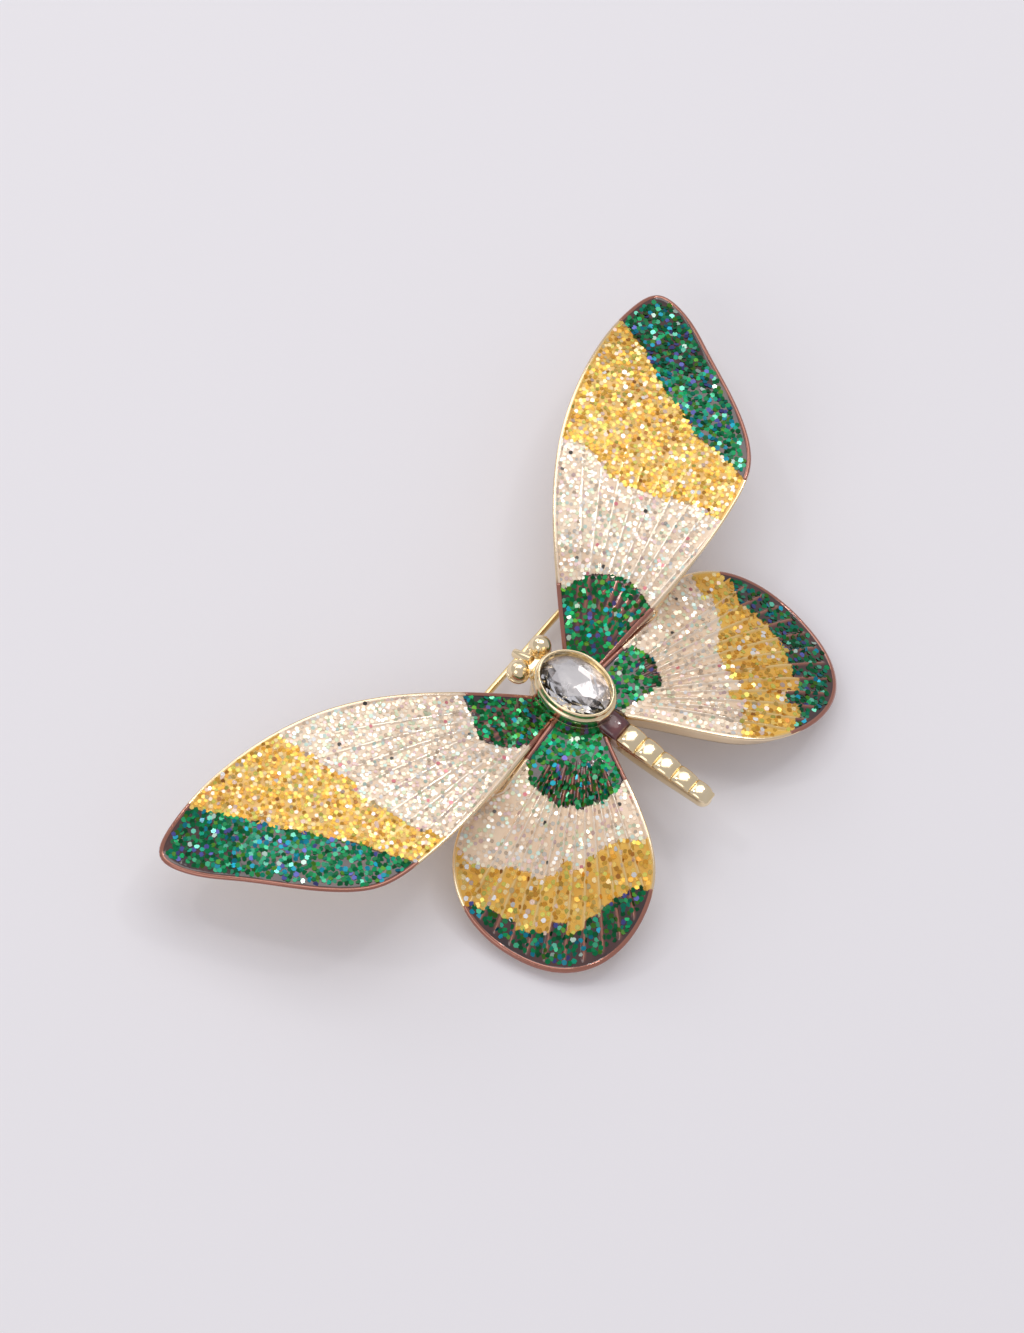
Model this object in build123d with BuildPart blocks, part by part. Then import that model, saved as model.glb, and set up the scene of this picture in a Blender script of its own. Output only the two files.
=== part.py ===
from build123d import *
import os
from math import cos, radians, sin

os.makedirs("parts", exist_ok=True)

# Butterfly brooch. Millimetres. +Z is out of the front, +Y towards the head and +X to the right when the
# front is seen with the head up. The origin is under the middle of the outline, on the plane that the
# brooch lies on.

# ---- overall sizes
wing_span = 85.2
overall_length = 43.2
body_height = 7.9  # middle plane of the body above the resting plane
body_y = -0.8  # centre of the stone, from the middle of the outline

# ---- wings
fore_turn = 25.5  # heading of the forewing's arch, degrees from +X towards +Y
fore_radius = 66.0
fore_crest = 26.5  # distance of the arch's highest line from the stone
fore_crest_height = 3.05
fore_back_thickness = 0.95
fore_back_shift = 3.4  # moves the back's arch outwards, so that the wing thins towards its tip
hind_turn = -15.0
hind_radius = 47.0
hind_crest = 4.0
hind_crest_height = -0.3
hind_back_thickness = 2.1
hind_back_shift = 3.2
edge_thickness = 0.8  # the wings get no thinner than this
rim_width = 0.45
enamel_floor = 0.5  # depth of the tray below its rim
enamel_recess = 0.08  # enamel surface below the rim
rib_recess = 0.20  # rib tops below the rim, just under the enamel surface
rib_width = 0.34
fore_rib_count = 9
fore_rib_first = -2.0
fore_rib_step = 4.9
hind_rib_count = 12
hind_rib_first = -57.0
hind_rib_step = 4.4
rib_fan_x = 1.0  # the ribs fan out from here, beside the stone
rib_fan_y = 0.4
hind_fan_y = -2.0

# ---- thorax, bezel and stone
stone_half_width = 3.0
stone_half_length = 4.0
bezel_wall = 0.7
thorax_half_width = stone_half_width + bezel_wall
thorax_half_length = stone_half_length + bezel_wall
thorax_top = 0.3
thorax_depth = 2.9
stone_sides = 16
stone_girdle = 1.5  # height of the stone's widest part above the body plane
girdle_height = 0.25
crown_height = 1.35
table_share = 0.56
pavilion_depth = 0.8
culet_share = 0.35
foil_thickness = 0.1
stone_clearance = 0.06
bezel_step = 0.25
bezel_shoulder = 1.9  # height of the lower rim above the body plane
bezel_top = 2.6
bezel_lip_chamfer = 0.12

# ---- head
eye_radius = 1.15
eye_spread = 1.85
eye_gap = 1.15  # from the thorax's end to the eyes' centres
eye_forward = thorax_half_length + eye_gap
eye_height = 0.1
collar_width = 0.12
collar_top = -0.1
head_bottom = -1.3
head_top = -0.45
snout_radius = 0.5
snout_bore = 0.28
snout_length = 2.5
snout_droop = 32.0
snout_setback = 0.3  # the snout starts this far behind the eyes' centres
snout_root_z = 0.1

# ---- abdomen
abdomen_end = 18.2  # tip, behind the stone's centre
abdomen_half_width = 1.35
abdomen_tip_half_width = 1.0
abdomen_bottom = -2.6
abdomen_top = -0.5
segment_count = 6
segment_axis_drop = 0.6  # the domes are turned about a line this far below the base's top
segment_bulge = 0.28
segment_crown = 0.24  # height of a dome's middle above its ends
segment_tuck = 0.47  # the first segment starts this far inside the thorax's end
last_segment_share = 0.45  # end width of the last segment, of its start width

# ---- pin, hinge and catch
pin_y = 7.09
pin_height = 1.8  # axis above the resting plane
wire_radius = 0.36
hinge_x = -14.0
catch_x = 14.0
pin_overreach = 3.2  # tip past the catch's middle
pin_taper_length = 9.2
tip_radius = 0.1
root_swell = 0.14  # extra radius of the stem beside the hinge
root_length = 2.1
root_cone_length = 1.0
rivet_radius = 0.4
rivet_clearance = 0.05
rivet_head_lap = 0.35
rivet_head_height = 0.35
rivet_head_taper = 25
eye_ring_wall = 0.7
eye_ring_width = 1.2
ear_thickness = 0.5
ear_clearance = 0.06
web_clearance = 1.25  # from the pin's eye ring to the bracket's web
barrel_length = 2.6
barrel_wall = 0.6
slot_clearance = 0.2  # beside the wire, in the barrel's slot
neck_width = 1.7
sleeve_clearance = 0.04
sleeve_bore_clearance = 0.26  # round the wire, in the sleeve
flange_thickness = 0.4
flange_gap = 0.06
flange_lap = 0.3
lever_reach = 3.1
lever_width = 1.1
lever_thickness = 0.75

half_span = wing_span / 2
plan_reach = 12.0  # cutting tools reach this far above and below the body plane
tool_length = 120.0
inset_points = 40
abdomen_zone_length = 0.5  # where the abdomen starts to taper, as a share of its length

# Wing outlines, as shares of the half span and of the overall length, from the stone's centre.
forewing_outline = [
    (0.056, 0.069), (0.230, 0.241), (0.481, 0.424), (0.728, 0.507), (0.904, 0.5195), (0.991, 0.490),
    (0.990, 0.424), (0.930, 0.301), (0.807, 0.095), (0.740, 0.031), (0.622, -0.006), (0.455, -0.021),
]
wing_joint = (0.305, -0.0195)  # end of the edge that the two wings share
wing_root = (0.052, -0.002)
hindwing_outline = [
    (0.352, 0.004), (0.446, 0.0), (0.505, -0.030), (0.559, -0.090), (0.589, -0.185), (0.584, -0.290),
    (0.546, -0.394), (0.479, -0.459), (0.398, -0.4815), (0.315, -0.472), (0.237, -0.436), (0.152, -0.341),
    (0.086, -0.225), (0.045, -0.150), (0.014, -0.100),
]

# Enamel boundaries, in the same shares.
fore_spot = [(0.190, 0.260), (0.262, 0.160), (0.300, 0.090), (0.285, 0.010), (0.200, -0.040), (0.100, -0.030)]
fore_amber_edge = [(0.560, 0.560), (0.555, 0.380), (0.535, 0.200), (0.555, 0.060), (0.545, -0.080)]
fore_tip_edge = [(0.880, 0.600), (0.830, 0.430), (0.760, 0.280), (0.690, 0.130), (0.650, -0.080)]
hind_spot = [
    (0.150, 0.020), (0.225, -0.035), (0.235, -0.100), (0.205, -0.190), (0.135, -0.225), (0.060, -0.215),
]
hind_amber_edge = [
    (0.507, 0.020), (0.481, -0.037), (0.458, -0.123), (0.385, -0.213), (0.317, -0.278), (0.181, -0.370),
    (0.120, -0.440),
]
hind_tip_edge = [
    (0.587, -0.035), (0.547, -0.088), (0.518, -0.150), (0.519, -0.222), (0.498, -0.296), (0.453, -0.352),
    (0.387, -0.389), (0.319, -0.417), (0.27, -0.475),
]
outer_corner = 1.6  # the zones are closed out here, past every edge
fore_spot_middle = (0.0, 0.03)
hind_spot_middle = (0.0, -0.08)
fore_zone_corners = (0.7, -0.3)  # upper and lower
hind_zone_corners = (0.1, -0.7)


def plan(share):
    return (share[0] * half_span, body_y + share[1] * overall_length)


def body_plane(height):
    return Plane.XY.offset(body_height + height)


def arch_plane(turn):
    # Upright plane whose first direction runs along the arch and whose second is up.
    along = (cos(radians(turn)), sin(radians(turn)), 0)
    across = (sin(radians(turn)), -cos(radians(turn)), 0)
    return Plane(origin=(0, body_y, body_height), x_dir=along, z_dir=across)


def arch_cylinder(turn, crest, crest_height, radius):
    with BuildPart() as cylinder:
        with BuildSketch(arch_plane(turn)):
            with Locations((crest, crest_height - radius)):
                Circle(radius)
        extrude(amount=tool_length, both=True)
    return cylinder.part


def space_below(turn, crest, crest_height, radius, back, shift):
    # The space under a wing's back, which leaves it thick at the root and edge_thickness towards the tip.
    with BuildPart() as space:
        add(arch_cylinder(turn, crest + shift, crest_height - back, radius - back))
        thin = arch_cylinder(turn, crest, crest_height - edge_thickness, radius - edge_thickness)
        add(thin, mode=Mode.INTERSECT)
    return space.part


def upright(face, low=-plan_reach, high=plan_reach):
    with BuildPart() as prism:
        add(face.moved(Location((0, 0, body_height + low))))
        extrude(amount=high - low, dir=(0, 0, 1))
    return prism.part


def zone_beyond(edge, corner_y):
    # Everything outside a boundary line: the line, closed by corners past the wing.
    points = [plan(share) for share in edge]
    with BuildSketch() as zone:
        with BuildLine():
            line = Spline(points)
            Polyline(line @ 1, plan((outer_corner, corner_y[1])), plan((outer_corner, corner_y[0])), line @ 0)
        make_face()
    return zone.sketch


def spot_zone(edge, middle):
    with BuildSketch() as zone:
        with BuildLine():
            line = Spline([plan(share) for share in edge])
            Polyline(line @ 1, plan(middle), line @ 0)
        make_face()
    return zone.sketch


def rib_strips(fan_y, first, step, count):
    with BuildSketch() as strips:
        for index in range(count):
            with Locations(Location((rib_fan_x, body_y + fan_y, 0), (0, 0, first + index * step))):
                Rectangle(half_span + rib_fan_x, rib_width, align=(Align.MIN, Align.CENTER))
    return strips.sketch


# The plan of everything that the wings butt against: the thorax, the bezel on it and the abdomen.
with BuildSketch() as abdomen_plan:
    tip_centre_y = body_y - abdomen_end + abdomen_tip_half_width
    with BuildLine():
        Polyline(
            (-abdomen_tip_half_width, tip_centre_y),
            (-abdomen_half_width, body_y - abdomen_end * abdomen_zone_length),
            (-abdomen_half_width, body_y),
            (abdomen_half_width, body_y),
            (abdomen_half_width, body_y - abdomen_end * abdomen_zone_length),
            (abdomen_tip_half_width, tip_centre_y),
        )
        ThreePointArc(
            (abdomen_tip_half_width, tip_centre_y),
            (0, tip_centre_y - abdomen_tip_half_width),
            (-abdomen_tip_half_width, tip_centre_y),
        )
    make_face()
with BuildSketch() as thorax_plan:
    with Locations((0, body_y)):
        Ellipse(thorax_half_width, thorax_half_length)
body_core = upright(thorax_plan.sketch)
abdomen_core = upright(abdomen_plan.sketch)


def wing_face(edge, root):
    # A wing's plan from its edge line, closed through its root under the stone.
    with BuildSketch() as face:
        with BuildLine():
            line = Spline(edge)
            Polyline(line @ 1, root, line @ 0)
        make_face()
    return face.sketch


def inset_edge(edge, distance):
    # The same line moved inwards, which is to the right when the edge is followed away from the root.
    line = Edge.make_spline([Vector(*point) for point in edge])
    points = []
    for index in range(inset_points + 1):
        share = index / inset_points
        along = line.tangent_at(share)
        place = line.position_at(share)
        points.append((place.X + along.Y * distance, place.Y - along.X * distance))
    return points


def make_wing(edge, root_side, turn, crest, crest_height, radius, back, shift, ribs, spot, amber, tip):
    # One wing: a cast tray whose four enamels fill it face to face.
    root_x, root_y = plan(wing_root)
    outline = wing_face(edge, (root_x, root_y))
    inner = wing_face(inset_edge(edge, rim_width), (root_x, root_y + root_side * rim_width))
    with BuildPart() as cavity:
        add(upright(inner))
        floor = arch_cylinder(turn, crest, crest_height - enamel_floor, radius - enamel_floor)
        add(floor, mode=Mode.SUBTRACT)
        add(body_core, mode=Mode.SUBTRACT)
        add(abdomen_core, mode=Mode.SUBTRACT)
    with BuildPart() as rib_walls:
        add(upright(ribs))
        add(arch_cylinder(turn, crest, crest_height - rib_recess, radius - rib_recess), mode=Mode.INTERSECT)
    with BuildPart() as filling:
        add(cavity.part)
        add(rib_walls.part, mode=Mode.SUBTRACT)
    with BuildPart() as tray:
        add(upright(outline))
        add(arch_cylinder(turn, crest, crest_height, radius), mode=Mode.INTERSECT)
        add(space_below(turn, crest, crest_height, radius, back, shift), mode=Mode.SUBTRACT)
        add(body_core, mode=Mode.SUBTRACT)
        add(abdomen_core, mode=Mode.SUBTRACT)
        add(filling.part, mode=Mode.SUBTRACT)
    with BuildPart() as enamel:
        add(filling.part)
        surface = arch_cylinder(turn, crest, crest_height - enamel_recess, radius - enamel_recess)
        add(surface, mode=Mode.INTERSECT)
    with BuildPart() as spot_enamel:
        add(enamel.part)
        add(upright(spot), mode=Mode.INTERSECT)
    with BuildPart() as tip_enamel:
        add(enamel.part)
        add(upright(tip), mode=Mode.INTERSECT)
    with BuildPart() as amber_enamel:
        add(enamel.part)
        add(upright(amber), mode=Mode.INTERSECT)
        add(upright(tip), mode=Mode.SUBTRACT)
    with BuildPart() as clear_enamel:
        add(enamel.part)
        for zone in (spot, amber, tip):
            add(upright(zone), mode=Mode.SUBTRACT)
    return {
        "tray": tray.part,
        "enamel_root": spot_enamel.part,
        "enamel_clear": clear_enamel.part,
        "enamel_amber": amber_enamel.part,
        "enamel_tip": tip_enamel.part,
    }


def write(part, name):
    part.label = name
    export_step(part, f"parts/{name}.step")


# ---- wings
forewing = make_wing(
    [plan(share) for share in forewing_outline + [wing_joint]],
    1,
    fore_turn,
    fore_crest,
    fore_crest_height,
    fore_radius,
    fore_back_thickness,
    fore_back_shift,
    rib_strips(rib_fan_y, fore_rib_first, fore_rib_step, fore_rib_count),
    spot_zone(fore_spot, fore_spot_middle),
    zone_beyond(fore_amber_edge, fore_zone_corners),
    zone_beyond(fore_tip_edge, fore_zone_corners),
)
hindwing = make_wing(
    [plan(share) for share in [wing_joint] + hindwing_outline],
    -1,
    hind_turn,
    hind_crest,
    hind_crest_height,
    hind_radius,
    hind_back_thickness,
    hind_back_shift,
    rib_strips(hind_fan_y, hind_rib_first, hind_rib_step, hind_rib_count),
    spot_zone(hind_spot, hind_spot_middle),
    zone_beyond(hind_amber_edge, hind_zone_corners),
    zone_beyond(hind_tip_edge, hind_zone_corners),
)
for wing_name, wing in (("forewing", forewing), ("hindwing", hindwing)):
    for piece_name, piece in wing.items():
        write(piece, f"{wing_name}_right_{piece_name}")
        with BuildPart() as left_piece:
            mirror(piece, about=Plane.YZ)
        write(left_piece.part, f"{wing_name}_left_{piece_name}")

# ---- thorax, bezel and stone
with BuildPart() as thorax:
    add(upright(thorax_plan.sketch, thorax_top - thorax_depth, thorax_top))
write(thorax.part, "thorax")


def stone_polygon(height, share):
    # Facetted oval at a height above the body plane.
    with BuildSketch(body_plane(height)) as polygon:
        with Locations((0, body_y)):
            Polygon(
                [
                    (
                        stone_half_width * share * cos(radians(360 * index / stone_sides)),
                        stone_half_length * share * sin(radians(360 * index / stone_sides)),
                    )
                    for index in range(stone_sides)
                ],
                align=None,
            )
    return polygon.sketch


with BuildPart() as stone:
    add(stone_polygon(stone_girdle, 1.0))
    extrude(amount=girdle_height, dir=(0, 0, 1))
    loft(
        [
            stone_polygon(stone_girdle + girdle_height, 1.0),
            stone_polygon(stone_girdle + girdle_height + crown_height, table_share),
        ],
        ruled=True,
    )
    loft(
        [stone_polygon(stone_girdle - pavilion_depth, culet_share), stone_polygon(stone_girdle, 1.0)],
        ruled=True,
    )
write(stone.part, "stone")

with BuildPart() as foil_blank:
    loft(
        [
            stone_polygon(stone_girdle - pavilion_depth - foil_thickness, culet_share),
            stone_polygon(stone_girdle - foil_thickness, 1.0),
        ],
        ruled=True,
    )
    add(stone_polygon(stone_girdle - foil_thickness, 1.0))
    extrude(amount=foil_thickness, dir=(0, 0, 1))
with BuildPart() as stone_foil:
    add(foil_blank.part)
    add(stone.part, mode=Mode.SUBTRACT)
write(stone_foil.part, "stone_foil")

with BuildPart() as bezel_cup:
    add(upright(thorax_plan.sketch, thorax_top, bezel_shoulder))
    with BuildSketch(body_plane(bezel_shoulder)):
        with Locations((0, body_y)):
            Ellipse(thorax_half_width - bezel_step, thorax_half_length - bezel_step)
    extrude(amount=bezel_top - bezel_shoulder)
    with BuildSketch(body_plane(stone_girdle)):
        with Locations((0, body_y)):
            Ellipse(stone_half_width + stone_clearance, stone_half_length + stone_clearance)
    extrude(amount=bezel_top - stone_girdle, mode=Mode.SUBTRACT)
    add(foil_blank.part, mode=Mode.SUBTRACT)
    chamfer(bezel_cup.faces().sort_by(Axis.Z)[-1].edges(), bezel_lip_chamfer)
write(bezel_cup.part, "bezel_cup")

# ---- head
eye_centres = [(side * eye_spread, body_y + eye_forward) for side in (-1, 1)]
with BuildPart() as eye_balls:
    with Locations([(x, y, body_height + eye_height) for x, y in eye_centres]):
        Sphere(eye_radius)
snout_plane = Plane(
    origin=(0, body_y + eye_forward - snout_setback, body_height + snout_root_z),
    x_dir=(1, 0, 0),
    z_dir=(0, cos(radians(snout_droop)), -sin(radians(snout_droop))),
)
with BuildPart() as snout_solid:
    with BuildSketch(snout_plane):
        Circle(snout_radius)
    extrude(amount=snout_length)
with BuildPart() as snout:
    add(snout_solid.part)
    with BuildSketch(snout_plane.offset(snout_length)):
        Circle(snout_bore)
    extrude(amount=-snout_length / 2, mode=Mode.SUBTRACT)
write(snout.part, "snout")

with BuildPart() as head:
    with BuildSketch(body_plane(head_bottom)):
        with Locations(eye_centres):
            Circle(eye_radius + collar_width)
        with Locations((0, body_y)):
            Rectangle(2 * eye_spread, eye_forward, align=(Align.CENTER, Align.MIN))
    extrude(amount=head_top - head_bottom)
    with BuildSketch(body_plane(head_top)):
        with Locations(eye_centres):
            Circle(eye_radius + collar_width)
    extrude(amount=collar_top - head_top)
    add(eye_balls.part, mode=Mode.SUBTRACT)
    add(snout_solid.part, mode=Mode.SUBTRACT)
    add(body_core, mode=Mode.SUBTRACT)
    add(forewing["tray"], mode=Mode.SUBTRACT)
    add(mirror(forewing["tray"], about=Plane.YZ), mode=Mode.SUBTRACT)
write(head.part, "head")
for eye_side, eye_solid in zip(("left", "right"), eye_balls.solids().sort_by(Axis.X)):
    with BuildPart() as eye_piece:
        add(eye_solid)
        add(snout_solid.part, mode=Mode.SUBTRACT)
    write(eye_piece.part, f"eye_{eye_side}")

# ---- abdomen
with BuildPart() as abdomen_base:
    add(upright(abdomen_plan.sketch, abdomen_bottom, abdomen_top))
    add(body_core, mode=Mode.SUBTRACT)
write(abdomen_base.part, "abdomen_base")

segment_axis_z = body_height + abdomen_top - segment_axis_drop
first_segment_y = body_y - thorax_half_length + segment_tuck
segment_length = (abdomen_end - thorax_half_length + segment_tuck) / segment_count


def segment(index):
    # Domed plate across the base: a barrel turned about a line below the base's top, cut off at that top.
    start = first_segment_y - index * segment_length
    end = start - segment_length
    taper = (abdomen_half_width - abdomen_tip_half_width) / segment_count
    width_start = abdomen_half_width - index * taper
    width_end = width_start - taper
    if index == segment_count - 1:
        width_end = last_segment_share * width_start
    radius_start = (width_start**2 + segment_axis_drop**2) ** 0.5 - segment_bulge
    radius_end = (width_end**2 + segment_axis_drop**2) ** 0.5 - segment_bulge
    radius_middle = max(radius_start, radius_end) + segment_crown
    with BuildPart() as plate:
        with BuildSketch(Plane.YZ):
            with BuildLine():
                Polyline(
                    (start, segment_axis_z + radius_start),
                    (start, segment_axis_z),
                    (end, segment_axis_z),
                    (end, segment_axis_z + radius_end),
                )
                ThreePointArc(
                    (end, segment_axis_z + radius_end),
                    ((start + end) / 2, segment_axis_z + radius_middle),
                    (start, segment_axis_z + radius_start),
                )
            make_face()
        revolve(axis=Axis((0, 0, segment_axis_z), (0, 1, 0)))
        split(bisect_by=body_plane(abdomen_top), keep=Keep.TOP)
        add(body_core, mode=Mode.SUBTRACT)
    return plate.part


write(segment(0), "abdomen_enamel")
with BuildPart() as abdomen_segments:
    for index in range(1, segment_count):
        add(segment(index))
write(abdomen_segments.part, "abdomen_segments")

# ---- hinge on the back of the left forewing
below_right_forewing = space_below(
    fore_turn, fore_crest, fore_crest_height, fore_radius, fore_back_thickness, fore_back_shift
)
below_left_forewing = mirror(below_right_forewing, about=Plane.YZ)
ear_gap = eye_ring_width + 2 * ear_clearance
hinge_plane = Plane(origin=(hinge_x, pin_y, pin_height), x_dir=(1, 0, 0), z_dir=(0, -1, 0))
post_height = body_height + fore_crest_height - pin_height
eye_ring_radius = rivet_radius + rivet_clearance + eye_ring_wall
web_rise = eye_ring_radius + web_clearance  # from the pin's axis to the underside of the bracket's web
with BuildPart() as hinge_bracket:
    with BuildSketch(hinge_plane):
        Circle(pin_height)
        Rectangle(2 * pin_height, post_height, align=(Align.CENTER, Align.MIN))
    extrude(amount=ear_gap / 2 + ear_thickness, both=True)
    with BuildSketch(hinge_plane):
        Rectangle(4 * pin_height, 2 * web_rise)
    extrude(amount=ear_gap / 2, both=True, mode=Mode.SUBTRACT)
    with BuildSketch(hinge_plane):
        Circle(rivet_radius)
    extrude(amount=ear_gap, both=True, mode=Mode.SUBTRACT)
    add(below_left_forewing, mode=Mode.INTERSECT)
write(hinge_bracket.part, "hinge_bracket")

with BuildPart() as hinge_rivet:
    with BuildSketch(hinge_plane):
        Circle(rivet_radius)
    extrude(amount=ear_gap / 2 + ear_thickness, both=True)
    for side in (-1, 1):
        with BuildSketch(hinge_plane.offset(side * (ear_gap / 2 + ear_thickness))):
            Circle(rivet_radius + rivet_head_lap)
        extrude(amount=side * rivet_head_height, taper=rivet_head_taper)
write(hinge_rivet.part, "hinge_rivet")

# ---- pin
pin_tip = catch_x + pin_overreach
root_end = hinge_x + root_length
root_radius = wire_radius + root_swell
pin_plane = Plane(origin=(0, pin_y, pin_height), x_dir=(1, 0, 0), z_dir=(0, -1, 0))
with BuildPart() as pin_stem:
    with BuildSketch(pin_plane):
        with BuildLine():
            Polyline(
                (hinge_x, 0),
                (hinge_x, root_radius),
                (root_end - root_cone_length, root_radius),
                (root_end, wire_radius),
                (pin_tip - pin_taper_length, wire_radius),
                (pin_tip - tip_radius, tip_radius),
            )
            ThreePointArc(
                (pin_tip - tip_radius, tip_radius),
                (pin_tip - tip_radius * (1 - cos(radians(45))), tip_radius * sin(radians(45))),
                (pin_tip, 0),
            )
            Line((pin_tip, 0), (hinge_x, 0))
        make_face()
    revolve(axis=Axis((0, pin_y, pin_height), (1, 0, 0)))
    with BuildSketch(hinge_plane):
        Circle(eye_ring_radius)
    extrude(amount=eye_ring_width / 2, both=True)
    with BuildSketch(hinge_plane):
        Circle(rivet_radius + rivet_clearance)
    extrude(amount=eye_ring_width, both=True, mode=Mode.SUBTRACT)
write(pin_stem.part, "pin_stem")

# ---- catch on the back of the right forewing
catch_plane = Plane(origin=(catch_x, pin_y, pin_height), x_dir=(0, 1, 0), z_dir=(1, 0, 0))
barrel_radius = pin_height
barrel_bore = barrel_radius - barrel_wall
catch_slot = 2 * (wire_radius + slot_clearance)
with BuildPart() as catch_barrel:
    with BuildSketch(catch_plane):
        Circle(barrel_radius)
        Rectangle(neck_width, post_height, align=(Align.CENTER, Align.MIN))
    extrude(amount=barrel_length / 2, both=True)
    with BuildSketch(catch_plane):
        Circle(barrel_bore)
        Rectangle(catch_slot, 2 * barrel_radius, align=(Align.CENTER, Align.MAX))
    extrude(amount=barrel_length, both=True, mode=Mode.SUBTRACT)
    add(below_right_forewing, mode=Mode.INTERSECT)
write(catch_barrel.part, "catch_barrel")

sleeve_radius = barrel_bore - sleeve_clearance
flange_start = barrel_length / 2 + flange_gap
with BuildPart() as catch_sleeve:
    with BuildSketch(catch_plane):
        Circle(sleeve_radius)
    extrude(amount=flange_start, both=True)
    with BuildSketch(catch_plane.offset(-flange_start)):
        Circle(barrel_bore + flange_lap)
    extrude(amount=-flange_thickness)
    with BuildSketch(catch_plane.offset(flange_start)):
        Circle(barrel_bore + flange_lap)
        with Locations((-(lever_reach - lever_width / 2) / 2, 0)):
            Rectangle(lever_reach - lever_width / 2, lever_width)
        with Locations((-(lever_reach - lever_width / 2), 0)):
            Circle(lever_width / 2)
    extrude(amount=lever_thickness)
    with BuildSketch(catch_plane):
        Circle(wire_radius + sleeve_bore_clearance)
        Rectangle(catch_slot, 2 * barrel_radius, align=(Align.CENTER, Align.MAX))
    extrude(amount=barrel_length, both=True, mode=Mode.SUBTRACT)
write(catch_sleeve.part, "catch_sleeve")
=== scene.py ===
from math import cos, pi, radians, sin, sqrt

import bmesh
import bpy
import numpy as np
from mathutils import Matrix, Vector


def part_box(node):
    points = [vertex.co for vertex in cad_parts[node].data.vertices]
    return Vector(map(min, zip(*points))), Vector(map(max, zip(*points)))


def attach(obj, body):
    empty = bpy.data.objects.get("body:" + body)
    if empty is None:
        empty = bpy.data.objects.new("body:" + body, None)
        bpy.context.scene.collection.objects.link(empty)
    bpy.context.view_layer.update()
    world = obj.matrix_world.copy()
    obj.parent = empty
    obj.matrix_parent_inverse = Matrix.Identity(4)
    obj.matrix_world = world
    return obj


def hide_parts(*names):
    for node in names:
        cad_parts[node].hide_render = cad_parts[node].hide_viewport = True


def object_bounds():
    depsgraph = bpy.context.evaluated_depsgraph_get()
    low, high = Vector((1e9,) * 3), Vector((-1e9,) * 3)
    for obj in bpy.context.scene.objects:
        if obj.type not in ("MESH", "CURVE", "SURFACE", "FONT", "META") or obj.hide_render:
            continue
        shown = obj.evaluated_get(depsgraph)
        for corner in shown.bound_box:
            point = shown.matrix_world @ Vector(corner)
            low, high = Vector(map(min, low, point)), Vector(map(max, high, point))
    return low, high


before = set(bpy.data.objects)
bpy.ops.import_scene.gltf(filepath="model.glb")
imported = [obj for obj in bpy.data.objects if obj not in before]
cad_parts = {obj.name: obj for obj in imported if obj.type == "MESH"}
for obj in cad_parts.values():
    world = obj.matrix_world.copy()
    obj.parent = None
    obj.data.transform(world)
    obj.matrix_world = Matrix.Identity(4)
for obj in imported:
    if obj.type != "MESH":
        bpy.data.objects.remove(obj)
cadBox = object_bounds()
scene = bpy.context.scene
scene.view_settings.view_transform = "Standard"
mm = 0.001
weldDistance = 0.000002  # metres

# where the body stands, from the frame
stoneLow, stoneHigh = (np.array(corner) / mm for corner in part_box("stone"))
bodyY = float(stoneLow[1] + stoneHigh[1]) / 2
bodyZ = float(stoneLow[2]) - 0.7  # the stone's lowest point is this far above the body's middle plane


# camera, lights and floor
view = {
    "toCamera": (-0.376, -0.173, 0.910),
    "headingTilt": 48.6,  # the wing span rises this many degrees to the right
    "aim": (-2.05, 5.81, bodyZ + 0.41),  # mm
    "distance": 1139.9,  # mm
    "lens": 297.1,
}


def placeCamera():
    toCamera = Vector(view["toCamera"]).normalized()
    spanFlat = (Vector((1, 0, 0)) - toCamera * toCamera.x).normalized()
    spanDown = spanFlat.cross(toCamera)
    tilt = radians(view["headingTilt"])
    right = spanFlat * cos(tilt) + spanDown * sin(tilt)
    up = toCamera.cross(right)
    data = bpy.data.cameras.new("camera")
    data.lens = view["lens"]
    data.sensor_width = 36
    data.clip_start, data.clip_end = 0.05, 20
    camera = bpy.data.objects.new("camera", data)
    scene.collection.objects.link(camera)
    turn = Matrix((right, up, toCamera)).transposed().to_4x4()
    camera.matrix_world = Matrix.Translation((Vector(view["aim"]) + toCamera * view["distance"]) * mm) @ turn
    scene.camera = camera


studio = {
    "worldColour": (0.965, 0.95, 1.0),
    "worldStrength": 0.54,
    "floorColour": (0.80, 0.785, 0.815),
    "floorGlow": 0.06,
    "floorReach": 3.0,  # metres each way
    "lampDistance": 0.85,
    "lamps": [  # name, direction, size in metres, watts, colour
        ("overheadSoft", (0.35, 0.25, 0.90), 0.60, 1.90, (1.0, 0.985, 0.96)),
        ("leftSoft", (-0.75, 0.10, 0.60), 0.42, 0.80, (1.0, 0.975, 0.94)),
        ("backSoft", (0.20, 0.85, 0.50), 0.42, 0.70, (1.0, 0.99, 0.98)),
        ("sparkleNear", (0.52, -0.05, 0.85), 0.07, 0.30, (1.0, 1.0, 1.0)),
        ("sparkleFar", (-0.10, 0.55, 0.83), 0.07, 0.30, (1.0, 1.0, 1.0)),
    ],
}


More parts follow.
